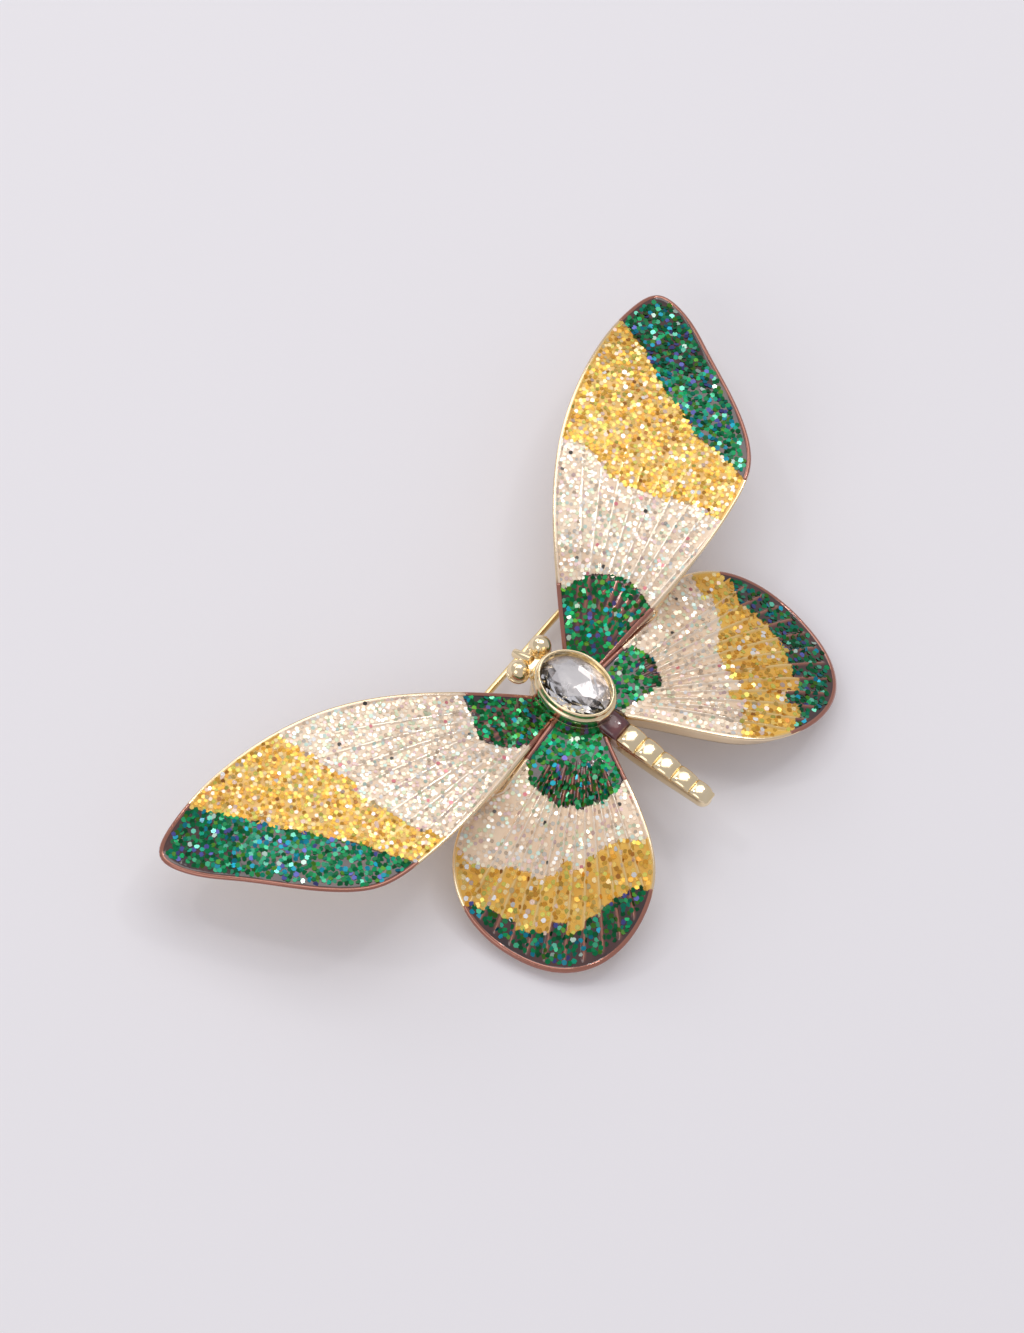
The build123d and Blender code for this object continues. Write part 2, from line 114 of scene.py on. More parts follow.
def buildStudio():
    world = bpy.data.worlds.new("studioWorld")
    scene.world = world
    world.use_nodes = True
    background = world.node_tree.nodes["Background"]
    background.inputs["Color"].default_value = (*studio["worldColour"], 1)
    background.inputs["Strength"].default_value = studio["worldStrength"]
    for name, direction, size, watts, colour in studio["lamps"]:
        place = Vector(direction).normalized() * studio["lampDistance"]
        data = bpy.data.lights.new(name, "AREA")
        data.size, data.energy, data.color = size, watts, colour
        lamp = bpy.data.objects.new(name, data)
        lamp.location = place
        lamp.rotation_euler = place.to_track_quat("Z", "Y").to_euler()
        scene.collection.objects.link(lamp)
    mesh = bpy.data.meshes.new("floor")
    reach = studio["floorReach"]
    corners = [(-reach, -reach, 0), (reach, -reach, 0), (reach, reach, 0), (-reach, reach, 0)]
    mesh.from_pydata(corners, [], [(0, 1, 2, 3)])
    floor = bpy.data.objects.new("floor", mesh)
    scene.collection.objects.link(floor)
    material = bpy.data.materials.new("paleFloor")
    material.use_nodes = True
    shader = material.node_tree.nodes["Principled BSDF"]
    shader.inputs["Base Color"].default_value = (*studio["floorColour"], 1)
    shader.inputs["Roughness"].default_value = 0.9
    shader.inputs["Specular IOR Level"].default_value = 0.1
    shader.inputs["Emission Color"].default_value = (*studio["floorColour"], 1)
    shader.inputs["Emission Strength"].default_value = studio["floorGlow"]
    mesh.materials.append(material)


placeCamera()
buildStudio()
print("studio ready")


# shader node groups
def newGroup(name, inputs, outputs):
    group = bpy.data.node_groups.new(name, "ShaderNodeTree")
    for label, kind, default in inputs:
        socket = group.interface.new_socket(label, in_out="INPUT", socket_type=kind)
        socket.default_value = default
    for label, kind in outputs:
        group.interface.new_socket(label, in_out="OUTPUT", socket_type=kind)
    return group, group.nodes.new("NodeGroupInput"), group.nodes.new("NodeGroupOutput")


surfaceOutputs = [
    ("Colour", "NodeSocketColor"), ("Roughness", "NodeSocketFloat"), ("Normal", "NodeSocketVector"),
]


def addNode(tree, kind, **settings):
    node = tree.nodes.new(kind)
    for key, value in settings.items():
        setattr(node, key, value)
    return node


def mathNode(tree, operation, first, second=None, third=None, clamp=False):
    node = addNode(tree, "ShaderNodeMath", operation=operation, use_clamp=clamp)
    for index, value in enumerate((first, second, third)):
        if value is None:
            continue
        if isinstance(value, (int, float)):
            node.inputs[index].default_value = value
        else:
            tree.links.new(value, node.inputs[index])
    return node.outputs[0]


def mixColour(tree, factor, first, second, blend="MIX"):
    node = addNode(tree, "ShaderNodeMix", data_type="RGBA", blend_type=blend)
    for socket, value in ((node.inputs[0], factor), (node.inputs[6], first), (node.inputs[7], second)):
        if isinstance(value, (int, float)):
            socket.default_value = value
        elif isinstance(value, tuple):
            socket.default_value = (*value, 1)
        else:
            tree.links.new(value, socket)
    return node.outputs[2]


def linkSame(tree, source, target, *labels):
    for label in labels:
        tree.links.new(source.outputs[label], target.inputs[label])


def objectPlace(tree):
    return addNode(tree, "ShaderNodeTexCoord").outputs["Object"]


def textureNode(tree, kind, scale, place=None):
    node = addNode(tree, kind)
    node.inputs["Scale"].default_value = scale
    tree.links.new(place or objectPlace(tree), node.inputs["Vector"])
    return node


def maskBetween(tree, value, low, high):
    node = addNode(tree, "ShaderNodeMapRange")
    node.inputs["From Min"].default_value, node.inputs["From Max"].default_value = low, high
    tree.links.new(value, node.inputs["Value"])
    return node.outputs["Result"]


def twoTone(tree, factor, *stops):
    node = addNode(tree, "ShaderNodeValToRGB")
    for element, (position, colour) in zip(node.color_ramp.elements, stops):
        element.position, element.color = position, (*colour, 1)
    tree.links.new(factor, node.inputs["Fac"])
    return node.outputs["Color"]


def scaledTextures(group, start, *pairs):
    # each texture's scale is a group input times its own number
    place = objectPlace(group)
    for node, scale in pairs:
        group.links.new(place, node.inputs["Vector"])
        group.links.new(mathNode(group, "MULTIPLY", start.outputs["Scale"], scale), node.inputs["Scale"])


def bumpFrom(group, strength, height, distance, end):
    bump = addNode(group, "ShaderNodeBump")
    bump.inputs["Distance"].default_value = distance
    group.links.new(strength, bump.inputs["Strength"])
    group.links.new(height, bump.inputs["Height"])
    linkSame(group, bump, end, "Normal")


def makeCastGrain():
    # pits, soft waves and hand polish lines of a small gilt casting
    group, start, end = newGroup(
        "castGrain",
        [("Scale", "NodeSocketFloat", 1.0), ("Depth", "NodeSocketFloat", 0.2),
         ("Colour", "NodeSocketColor", (1, 1, 1, 1)), ("Worn Colour", "NodeSocketColor", (1, 1, 1, 1)),
         ("Roughness", "NodeSocketFloat", 0.2)],
        surfaceOutputs,
    )
    wave = addNode(group, "ShaderNodeTexNoise")
    wave.inputs["Detail"].default_value = 2
    pits = addNode(group, "ShaderNodeTexNoise")
    pits.inputs["Detail"].default_value = 5
    scaledTextures(group, start, (wave, 420), (pits, 2600))
    height = mathNode(group, "MULTIPLY_ADD", pits.outputs["Fac"], 0.35, wave.outputs["Fac"])
    bumpFrom(group, start.outputs["Depth"], height, 0.00012, end)
    squared = mathNode(group, "MULTIPLY", wave.outputs["Fac"], wave.outputs["Fac"])
    wear = mathNode(group, "SMOOTH_MIN", squared, 1.0, 0.1)
    worn = mixColour(group, wear, start.outputs["Colour"], start.outputs["Worn Colour"])
    group.links.new(worn, end.inputs["Colour"])
    rough = mathNode(group, "MULTIPLY_ADD", pits.outputs["Fac"], 0.18, start.outputs["Roughness"])
    group.links.new(mathNode(group, "SUBTRACT", rough, 0.07, clamp=True), end.inputs["Roughness"])
    return group


def makeGlazeDepth():
    # uneven pooling of coloured glaze with tiny bubbles and dust
    group, start, end = newGroup(
        "glazeDepth",
        [("Thin Colour", "NodeSocketColor", (1, 1, 1, 1)),
         ("Deep Colour", "NodeSocketColor", (0.5, 0.5, 0.5, 1)),
         ("Scale", "NodeSocketFloat", 1.0), ("Ripple", "NodeSocketFloat", 0.2)],
        surfaceOutputs,
    )
    pool = addNode(group, "ShaderNodeTexNoise")
    pool.inputs["Detail"].default_value = 4
    grit = addNode(group, "ShaderNodeTexVoronoi")
    scaledTextures(group, start, (pool, 300), (grit, 2100))
    depth = maskBetween(group, pool.outputs["Fac"], 0.35, 0.65)
    pooled = mixColour(group, depth, start.outputs["Thin Colour"], start.outputs["Deep Colour"])
    group.links.new(pooled, end.inputs["Colour"])
    rough = mathNode(group, "MULTIPLY_ADD", grit.outputs["Distance"], 0.10, 0.06)
    group.links.new(rough, end.inputs["Roughness"])
    height = mathNode(group, "MULTIPLY_ADD", grit.outputs["Distance"], 0.5, pool.outputs["Fac"])
    bumpFrom(group, start.outputs["Ripple"], height, 0.00008, end)
    return group


castGrain = makeCastGrain()
glazeDepth = makeGlazeDepth()


def newMaterial(name, **sockets):
    material = bpy.data.materials.new(name)
    material.use_nodes = True
    shader = material.node_tree.nodes["Principled BSDF"]
    for key, value in sockets.items():
        socket = shader.inputs[key.replace("_", " ")]
        socket.default_value = (*value, 1) if isinstance(value, tuple) else value
    return material, material.node_tree, shader


def placeGroup(tree, group, **values):
    node = tree.nodes.new("ShaderNodeGroup")
    node.node_tree = group
    for key, value in values.items():
        socket = node.inputs[key.replace("_", " ")]
        socket.default_value = (*value, 1) if isinstance(value, tuple) else value
    return node


def attributeNode(tree, name):
    return addNode(tree, "ShaderNodeAttribute", attribute_name=name)


giltColours = {"Colour": (0.93, 0.75, 0.46), "Worn_Colour": (0.98, 0.86, 0.64)}


def makeGilt(name, colour, worn, scale=1.0, depth=0.12, roughness=0.14):
    material, tree, shader = newMaterial(name, Metallic=1.0)
    grain = placeGroup(
        tree, castGrain, Colour=colour, Worn_Colour=worn, Scale=scale, Depth=depth, Roughness=roughness)
    tree.links.new(grain.outputs["Colour"], shader.inputs["Base Color"])
    linkSame(tree, grain, shader, "Roughness", "Normal")
    return material


def makeWingGilt(name, colour, worn, glaze):
    # gilt casting whose rim carries a skin of brown glaze where the dark enamels meet it
    material, tree, shader = newMaterial(name, Coat_Roughness=0.05)
    grain = placeGroup(tree, castGrain, Colour=colour, Worn_Colour=worn, Depth=0.16, Roughness=0.16)
    tint = attributeNode(tree, "glazeTint").outputs["Fac"]
    tree.links.new(mixColour(tree, tint, grain.outputs["Colour"], glaze), shader.inputs["Base Color"])
    tree.links.new(mathNode(tree, "MULTIPLY_ADD", tint, -0.45, 1.0), shader.inputs["Metallic"])
    linkSame(tree, grain, shader, "Roughness", "Normal")
    tree.links.new(tint, shader.inputs["Coat Weight"])
    return material


def makeEnamel(name, thin, deep, ridge, ridgeMetal, ripple=0.25, scale=1.0, coat=0.6):
    # glossy enamel; on the rib tops it is thin and the metal shows
    material, tree, shader = newMaterial(name, Coat_Weight=coat, Coat_Roughness=0.03, Specular_IOR_Level=0.55)
    glaze = placeGroup(tree, glazeDepth, Thin_Colour=thin, Deep_Colour=deep, Scale=scale, Ripple=ripple)
    rib = attributeNode(tree, "ribShow").outputs["Fac"]
    tree.links.new(mixColour(tree, rib, glaze.outputs["Colour"], ridge), shader.inputs["Base Color"])
    tree.links.new(mathNode(tree, "MULTIPLY", rib, ridgeMetal), shader.inputs["Metallic"])
    linkSame(tree, glaze, shader, "Roughness", "Normal")
    return material


def makeFlakeMaterial(name, metallic, roughness, coat):
    material, tree, shader = newMaterial(name, Metallic=metallic, Coat_Weight=coat, Coat_Roughness=0.05)
    # the flake colour carries painted glints: each flake made lighter or darker at random
    tree.links.new(attributeNode(tree, "flakeToneAndGlint").outputs["Color"], shader.inputs["Base Color"])
    scratch = textureNode(tree, "ShaderNodeTexNoise", 5200).outputs["Fac"]
    rough = mathNode(tree, "MULTIPLY_ADD", scratch, 0.12, roughness - 0.06)
    tree.links.new(rough, shader.inputs["Roughness"])
    return material


gilt = makeGilt("paleGilt", *giltColours.values())
wireGilt = makeGilt("wireGilt", (0.92, 0.71, 0.36), (0.96, 0.82, 0.52), scale=1.6, depth=0.06, roughness=0.12)
wingGilt = makeWingGilt("wingGilt", (0.93, 0.72, 0.46), (0.98, 0.84, 0.64), (0.34, 0.115, 0.080))
enamelPaint = {  # thin colour, deep colour, colour of the rib tops, how metallic those are
    "root": makeEnamel(
        "darkRootEnamel", (0.040, 0.010, 0.011), (0.012, 0.004, 0.008), (0.40, 0.145, 0.095), 0.6, coat=1.0),
    "clear": makeEnamel(
        "champagneEnamel", (0.93, 0.73, 0.53), (0.84, 0.60, 0.40), (0.98, 0.84, 0.68), 0.55, 0.3),
    "amber": makeEnamel("amberEnamel", (0.86, 0.51, 0.08), (0.76, 0.38, 0.04), (0.95, 0.68, 0.28), 0.6, 0.3),
    "tip": makeEnamel(
        "darkEdgeEnamel", (0.075, 0.020, 0.016), (0.022, 0.007, 0.008), (0.42, 0.155, 0.100), 0.6, coat=1.0),
}
enamelSlots = {
    "root": "green_enamel", "clear": "clear_enamel", "amber": "amber_enamel", "tip": "green_enamel",
}
flakePaint = {  # metallic, roughness, coat
    "root": makeFlakeMaterial("greenFlakes", 0.95, 0.30, 0.25),
    "clear": makeFlakeMaterial("pearlFlakes", 0.40, 0.24, 0.5),
    "amber": makeFlakeMaterial("goldFlakes", 0.60, 0.26, 0.4),
}
flakePaint["tip"] = flakePaint["root"]
print("materials ready")


# mesh helpers
def newPiece(name, points, faces, material, smooth=True, attributes=None):
    # points in mm; every attribute has one value for each point
    mesh = bpy.data.meshes.new(name)
    mesh.from_pydata((np.asarray(points, float) * mm).tolist(), [], faces)
    for label, values in (attributes or {}).items():
        layer = mesh.attributes.new(label, "FLOAT", "POINT")
        layer.data.foreach_set("value", np.asarray(values, np.float32))
    work = bmesh.new()
    work.from_mesh(mesh)
    bmesh.ops.remove_doubles(work, verts=work.verts, dist=weldDistance)
    bmesh.ops.dissolve_degenerate(work, edges=work.edges, dist=0.000001)
    bmesh.ops.recalc_face_normals(work, faces=work.faces)
    for face in work.faces:
        face.smooth = smooth
    work.to_mesh(mesh)
    work.free()
    mesh.materials.append(material)
    piece = bpy.data.objects.new(name, mesh)
    scene.collection.objects.link(piece)
    return piece


def finishPiece(piece, body, slot, *nodes):
    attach(piece, body)
    if nodes:
        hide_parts(*nodes)


def gridFaces(rows, columns, closeRows=False, closeColumns=False):
    faces = []
    for row in range(rows if closeRows else rows - 1):
        nextRow = (row + 1) % rows
        for column in range(columns if closeColumns else columns - 1):
            nextColumn = (column + 1) % columns
            faces.append((
                row * columns + column, nextRow * columns + column,
                nextRow * columns + nextColumn, row * columns + nextColumn,
            ))
    return faces


def cappedTube(rings, around, first=0):
    # closed rings one after another with a face over each end
    faces = gridFaces(rings, around, closeColumns=True)
    faces += [tuple(range(around)), tuple(range((rings - 1) * around, rings * around))[::-1]]
    return [tuple(corner + first for corner in face) for face in faces]


def softenedNode(node, material, slot, body="brooch", width=0.08, segments=3):
    # a carried-over piece with its hard edges broken as polishing leaves them
    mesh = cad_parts[node].data.copy()
    work = bmesh.new()
    work.from_mesh(mesh)
    bmesh.ops.remove_doubles(work, verts=work.verts, dist=weldDistance)
    bmesh.ops.dissolve_limit(work, angle_limit=radians(1.0), verts=work.verts, edges=work.edges)
    work.to_mesh(mesh)
    work.free()
    piece = bpy.data.objects.new(f"{node}_polished", mesh)
    scene.collection.objects.link(piece)
    mesh.materials.clear()
    mesh.materials.append(material)
    mesh.shade_smooth()
    bevel = piece.modifiers.new("brokenEdges", "BEVEL")
    bevel.width, bevel.segments = width * mm, segments
    bevel.limit_method, bevel.angle_limit = "ANGLE", radians(35)
    bevel.harden_normals = True
    finishPiece(piece, body, slot, node)
    return piece


# wings
wingPlan = {"halfSpan": 42.6, "length": 43.2, "rim": 0.45, "coreX": 3.7, "coreY": 4.7, "abdomenX": 1.42}
# wing outlines are shares of the half span and the length; painted borders are mm from the body's middle
forewing = {
    "edge": [
        (0.056, 0.069), (0.230, 0.241), (0.481, 0.424), (0.728, 0.507), (0.904, 0.5195), (0.991, 0.490),
        (0.990, 0.424), (0.930, 0.301), (0.807, 0.095), (0.740, 0.031), (0.622, -0.006), (0.455, -0.021),
        (0.305, -0.0195),
    ],
    "rootAfter": (0.052, -0.002),
    "turn": 25.5, "radius": 66.0, "crest": 26.5, "crestHeight": 3.05, "back": 0.95, "backShift": 3.4,
    "wall": (0.80, 0.90), "wallStart": (-1.0, -0.5),
    "fan": (1.0, 0.4), "ribFirst": -2.0, "ribStep": 4.9, "ribCount": 9, "ribHeight": 0.060, "ribWidth": 0.20,
    "ribFade": (19.0, 31.0), "channel": 0.035, "steps": {"root": 0.10, "amber": 0.40, "tip": 0.12},
    "rays": 420, "right": {
        "root": [(8.0, 9.2), (8.6, 7.6), (11.0, 6.6), (12.1, 5.5), (13.0, 3.4), (12.4, -0.3)],
        "amber": [(20.0, 19.6), (21.8, 15.1), (20.4, 11.4), (21.7, 8.3), (22.8, 3.9), (24.4, -0.2)],
        "tip": [(37.0, 24.0), (35.1, 18.1), (32.5, 13.5), (30.2, 7.1), (29.3, -0.5)],
    }, "left": {
        "root": [(7.2, 9.2), (9.3, 6.6), (10.6, 4.9), (10.8, 3.2), (9.5, 1.1), (7.2, -0.4)],
        "amber": [(24.8, 20.9), (25.0, 16.9), (24.5, 13.2), (24.1, 9.0), (23.8, 4.6), (22.4, -0.6)],
        "tip": [(36.9, 23.1), (34.4, 17.2), (31.7, 11.5), (28.8, 5.9), (26.4, -0.5)],
    },
}
hindwing = {
    "edge": [
        (0.305, -0.0195), (0.352, 0.004), (0.446, 0.0), (0.505, -0.030), (0.559, -0.090), (0.589, -0.185),
        (0.584, -0.290), (0.546, -0.394), (0.479, -0.459), (0.398, -0.4815), (0.315, -0.472), (0.237, -0.436),
        (0.152, -0.341), (0.086, -0.225), (0.045, -0.150), (0.014, -0.100),
    ],
    "rootBefore": (0.052, -0.002),
    "turn": -15.0, "radius": 47.0, "crest": 4.0, "crestHeight": -0.3, "back": 2.1, "backShift": 3.2,
    "wall": (0.70, 0.84), "wallStart": (0.02, 0.10),
    "fan": (1.0, -2.0), "ribFirst": -57.0, "ribStep": 4.4, "ribCount": 12,
    "ribHeight": 0.17, "ribWidth": 0.17,
    "ribFade": (60.0, 80.0), "channel": 0.085, "steps": {"root": 0.15, "amber": 0.40, "tip": 0.42},
    "rays": 560, "right": {
        "root": [(7.3, -0.9), (8.8, -2.0), (8.6, -3.8), (7.3, -6.3), (5.6, -5.8), (3.2, -5.4), (1.8, -5.0)],
        "amber": [(20.6, -0.6), (20.0, -1.8), (18.2, -5.0), (14.6, -8.3), (11.8, -12.4), (8.0, -16.6)],
        "tip": [(23.2, -2.7), (20.6, -6.5), (21.5, -10.2), (20.4, -13.5), (16.6, -16.6), (11.5, -20.2)],
    }, "left": {
        "root": [
            (8.3, -0.8), (9.6, -1.8), (10.5, -3.2), (10.8, -5.4), (9.5, -8.3), (7.4, -9.9), (5.2, -10.1),
            (3.4, -9.9),
        ],
        "amber": [
            (20.0, -1.0), (19.4, -5.4), (17.1, -9.5), (14.6, -11.3), (12.2, -13.0), (10.4, -13.7), (7.4, -15.7),
        ],
        "tip": [
            (23.8, -3.0), (23.3, -6.4), (22.9, -9.0), (21.6, -12.1), (19.9, -14.8), (17.6, -16.4),
            (13.4, -17.9), (11.3, -19.7),
        ],
    },
}
levels = {"floor": -0.5, "enamel": -0.08, "thinnest": -0.8}  # mm from the top of the rim
zoneRows = {"root": 22, "clear": 40, "amber": 34, "tip": 30}  # points along a ray in each enamel
# how the enamel laps over the rim: mm in from the outline, level
lightLap = [(0.40, 0.000), (0.34, 0.018), (0.27, 0.014), (0.22, -0.012), (0.20, -0.06)]
darkLap = [(0.41, -0.005), (0.33, 0.035), (0.24, 0.055), (0.15, 0.040), (0.07, -0.015), (0.03, -0.09)]
laps = {"root": darkLap, "clear": lightLap, "amber": lightLap, "tip": darkLap}


def planPoint(share):
    return np.array((share[0] * wingPlan["halfSpan"], bodyY + share[1] * wingPlan["length"]))


def splineThrough(points, count):
    # natural cubic through the points, by chord length
    points = np.asarray(points, float)
    chord = np.concatenate([[0], np.cumsum(np.linalg.norm(np.diff(points, axis=0), axis=1))])
    n = len(points)
    gaps = np.diff(chord)
    system, right = np.eye(n), np.zeros((n, 2))
    for i in range(1, n - 1):
        system[i, i - 1], system[i, i], system[i, i + 1] = gaps[i - 1], 2 * (gaps[i - 1] + gaps[i]), gaps[i]
        right[i] = 6 * ((points[i + 1] - points[i]) / gaps[i] - (points[i] - points[i - 1]) / gaps[i - 1])
    bend = np.linalg.solve(system, right)
    at = np.linspace(0, chord[-1], count)
    i = np.clip(np.searchsorted(chord, at, side="right") - 1, 0, n - 2)
    gap, a, b = gaps[i][:, None], (chord[i + 1] - at)[:, None], (at - chord[i])[:, None]
    return (
        (bend[i] * a**3 + bend[i + 1] * b**3) / (6 * gap)
        + (points[i] / gap - bend[i] * gap / 6) * a
        + (points[i + 1] / gap - bend[i + 1] * gap / 6) * b
    )


def evenSpaced(line, count):
    length = np.concatenate([[0], np.cumsum(np.linalg.norm(np.diff(line, axis=0), axis=1))])
    at = np.linspace(0, length[-1], count)
    return np.stack([np.interp(at, length, line[:, axis]) for axis in (0, 1)], 1)


def cylinderHeight(wing, places, radius, crest):
    turn = radians(wing["turn"])
    along = places[..., 0] * cos(turn) + (places[..., 1] - bodyY) * sin(turn)
    return bodyZ + wing["crestHeight"] - wing["radius"] + np.sqrt(radius**2 - (along - crest) ** 2)


def archHeight(wing, places, level=0.0):
    return cylinderHeight(wing, places, wing["radius"] + level, wing["crest"])


def backHeight(wing, places):
    # thick beside the body, and nowhere thinner than the least wall
    thick = cylinderHeight(wing, places, wing["radius"] - wing["back"], wing["crest"] + wing["backShift"])
    return np.minimum(thick, archHeight(wing, places, levels["thinnest"]))


def coreExit(start, places):
    # where lines from the fan point leave the oval body
    size = np.array((wingPlan["coreX"], wingPlan["coreY"]))
    a = (start - (0, bodyY)) / size
    d = (places - start) / size
    qa, qb, qc = (d * d).sum(1), 2 * (d * a).sum(1), (a * a).sum() - 1
    return start + (places - start) * ((-qb + np.sqrt(qb * qb - 4 * qa * qc)) / (2 * qa))[:, None]


def wingRays(wing):
    # outline points, the same line inset by the rim, and where each ray starts at the body
    line = splineThrough([planPoint(share) for share in wing["edge"]], 1200)
    if "rootAfter" in wing:
        line = np.vstack([line, planPoint(wing["rootAfter"])])
    if "rootBefore" in wing:
        line = np.vstack([planPoint(wing["rootBefore"]), line])
    line = evenSpaced(line, 2400)
    outside = ((line[:, 0] / wingPlan["coreX"]) ** 2 + ((line[:, 1] - bodyY) / wingPlan["coreY"]) ** 2 > 1.0)
    outside &= ~((line[:, 0] < wingPlan["abdomenX"]) & (line[:, 1] < bodyY - 3))
    line = evenSpaced(line[outside], wing["rays"])
    along = np.gradient(line, axis=0)
    along /= np.linalg.norm(along, axis=1)[:, None]
    inward = np.stack([along[:, 1], -along[:, 0]], 1)
    fan = np.array(wing["fan"]) + (0, bodyY)
    inner = line + inward * wingPlan["rim"]
    return line, inner, inward, coreExit(fan, inner), fan


def polar(fan, places):
    offset = places - fan
    return np.degrees(np.arctan2(offset[..., 1], offset[..., 0])), np.linalg.norm(offset, axis=-1)


def zoneReach(fan, line):
    # distance from the fan point at which a painted boundary lies, by heading
    angle, reach = polar(fan, np.array(line) + (0, bodyY))
    order = np.argsort(angle)
    return lambda heading: np.interp(heading, angle[order], reach[order])


def ribMask(wing, fan, places):
    # 1 on the crest of a rib and 0 between ribs
    heading, reach = polar(fan, places)
    mask = np.zeros(heading.shape)
    for index in range(wing["ribCount"]):
        rib = wing["ribFirst"] + index * wing["ribStep"]
        away = reach * np.sin(np.radians(heading - rib))
        mask = np.maximum(mask, np.exp(-((away / wing["ribWidth"]) ** 2)))
    return mask


def smoothStep(low, high, value):
    t = np.clip((value - low) / (high - low), 0, 1)
    return t * t * (3 - 2 * t)


def zoneLimits(wing, side, fan, starts, inner, rng):
    # shares of each ray at which the four enamels begin and end, stepped from rib to rib as if hand painted
    heading, innerReach = polar(fan, inner)
    startReach = polar(fan, starts)[1]
    channel = np.floor((heading - wing["ribFirst"]) / wing["ribStep"]).astype(int)
    steps = rng.normal(0, 1, 64)
    waver = sum(np.sin(heading * f + p) for f, p in ((1.7, 0.3), (3.9, 1.1), (7.3, 2.0))) / 3
    limits = [np.zeros(len(inner))]
    for zone, jump in wing["steps"].items():
        reach = zoneReach(fan, wing[side][zone])(heading) + steps[channel % 64] * jump + waver * 0.12
        share = np.clip((reach - startReach) / np.maximum(innerReach - startReach, 1e-6), 0, 1)
        limits.append(np.maximum(share, limits[-1]))
    limits.append(np.ones(len(inner)))
    return limits


def buildWing(name, wing, side, seed):
    rng = np.random.default_rng(seed)
    line, inner, inward, starts, fan = wingRays(wing)
    flip = np.array((1 if side == "right" else -1, 1, 1))
    limits = zoneLimits(wing, side, fan, starts, inner, rng)
    tops = {}

    def between(low, high, count):
        shares = low[:, None] + (high - low)[:, None] * np.linspace(0, 1, count)[None, :]
        return starts[:, None, :] + (inner - starts)[:, None, :] * shares[..., None]

    for index, zone in enumerate(zoneRows):
        low, high = limits[index], limits[index + 1]
        places = between(low, high, zoneRows[zone])
        rib = ribMask(wing, fan, places)
        reach = polar(fan, places)[1]
        rise = smoothStep(4.5, 9.0, reach) * (1 - 0.85 * smoothStep(*wing["ribFade"], reach))
        rimGap = np.linalg.norm(inner[:, None, :] - places, axis=-1)
        fade = smoothStep(0.15, 1.1, rimGap)
        height = wing["ribHeight"] * rib * rise * fade - wing["channel"] * (1 - rib) * fade * rise
        height = height + 0.05 * np.exp(-rimGap / 0.25)
        height = height + 0.012 * np.sin(places[..., 0] * 2.1) * np.sin(places[..., 1] * 1.7 + 0.6)
        z = archHeight(wing, places, levels["enamel"]) + height
        top = np.concatenate([places, z[..., None]], -1) * flip
        show = rib * rise * fade
        # where the enamel meets the rim it laps over it, right to the outside where it is dark
        lapLine = np.where((high > 0.9999)[:, None], 1.0, 0.0)
        lapPlaces, lapHeights = [], []
        for inset, level in laps[zone]:
            spots = places[:, -1] + (inner - places[:, -1] - inward * (wingPlan["rim"] - inset)) * lapLine
            lapPlaces.append(spots)
            lapHeights.append(np.where(lapLine[:, 0] > 0, archHeight(wing, spots, level), z[:, -1]))
        lap = np.concatenate([np.stack(lapPlaces, 1), np.stack(lapHeights, 1)[..., None]], -1) * flip
        lowPlaces = between(low, high, 6)
        lowHeights = archHeight(wing, lowPlaces, levels["floor"])[..., None]
        under = np.concatenate([lowPlaces, lowHeights], -1) * flip
        # one closed loop of points per ray: out along the top, back along the bottom
        loop = np.concatenate([top, lap, under[:, ::-1]], 1)
        rays, around = loop.shape[:2]
        rimShow = np.zeros((rays, around - show.shape[1]))
        rimShow[:, :len(laps[zone])] = lapLine * (0.9 if zone in ("root", "tip") else 0.5)
        ribLoop = np.concatenate([show, rimShow], 1)
        used = np.nonzero(high - low > 1e-4)[0]
        first, last = max(used[0] - 1, 0), min(used[-1] + 2, rays)
        loop, ribLoop = loop[first:last], ribLoop[first:last]
        piece = newPiece(
            f"{name}_{side}_{zone}_enamel", loop.reshape(-1, 3), cappedTube(last - first, around),
            enamelPaint[zone], attributes={"ribShow": ribLoop.ravel()},
        )
        finishPiece(piece, "brooch", enamelSlots[zone], f"{name}_{side}_enamel_{zone}")
        margin = smoothStep(*flakeMargins[zone], rimGap)
        cover = (1 - ribCover[zone] * show) * margin
        tops[zone] = (top[first:last], cover[first:last])
    buildTray(name, wing, side, line, inner, inward, starts, fan, limits, flip)
    return tops


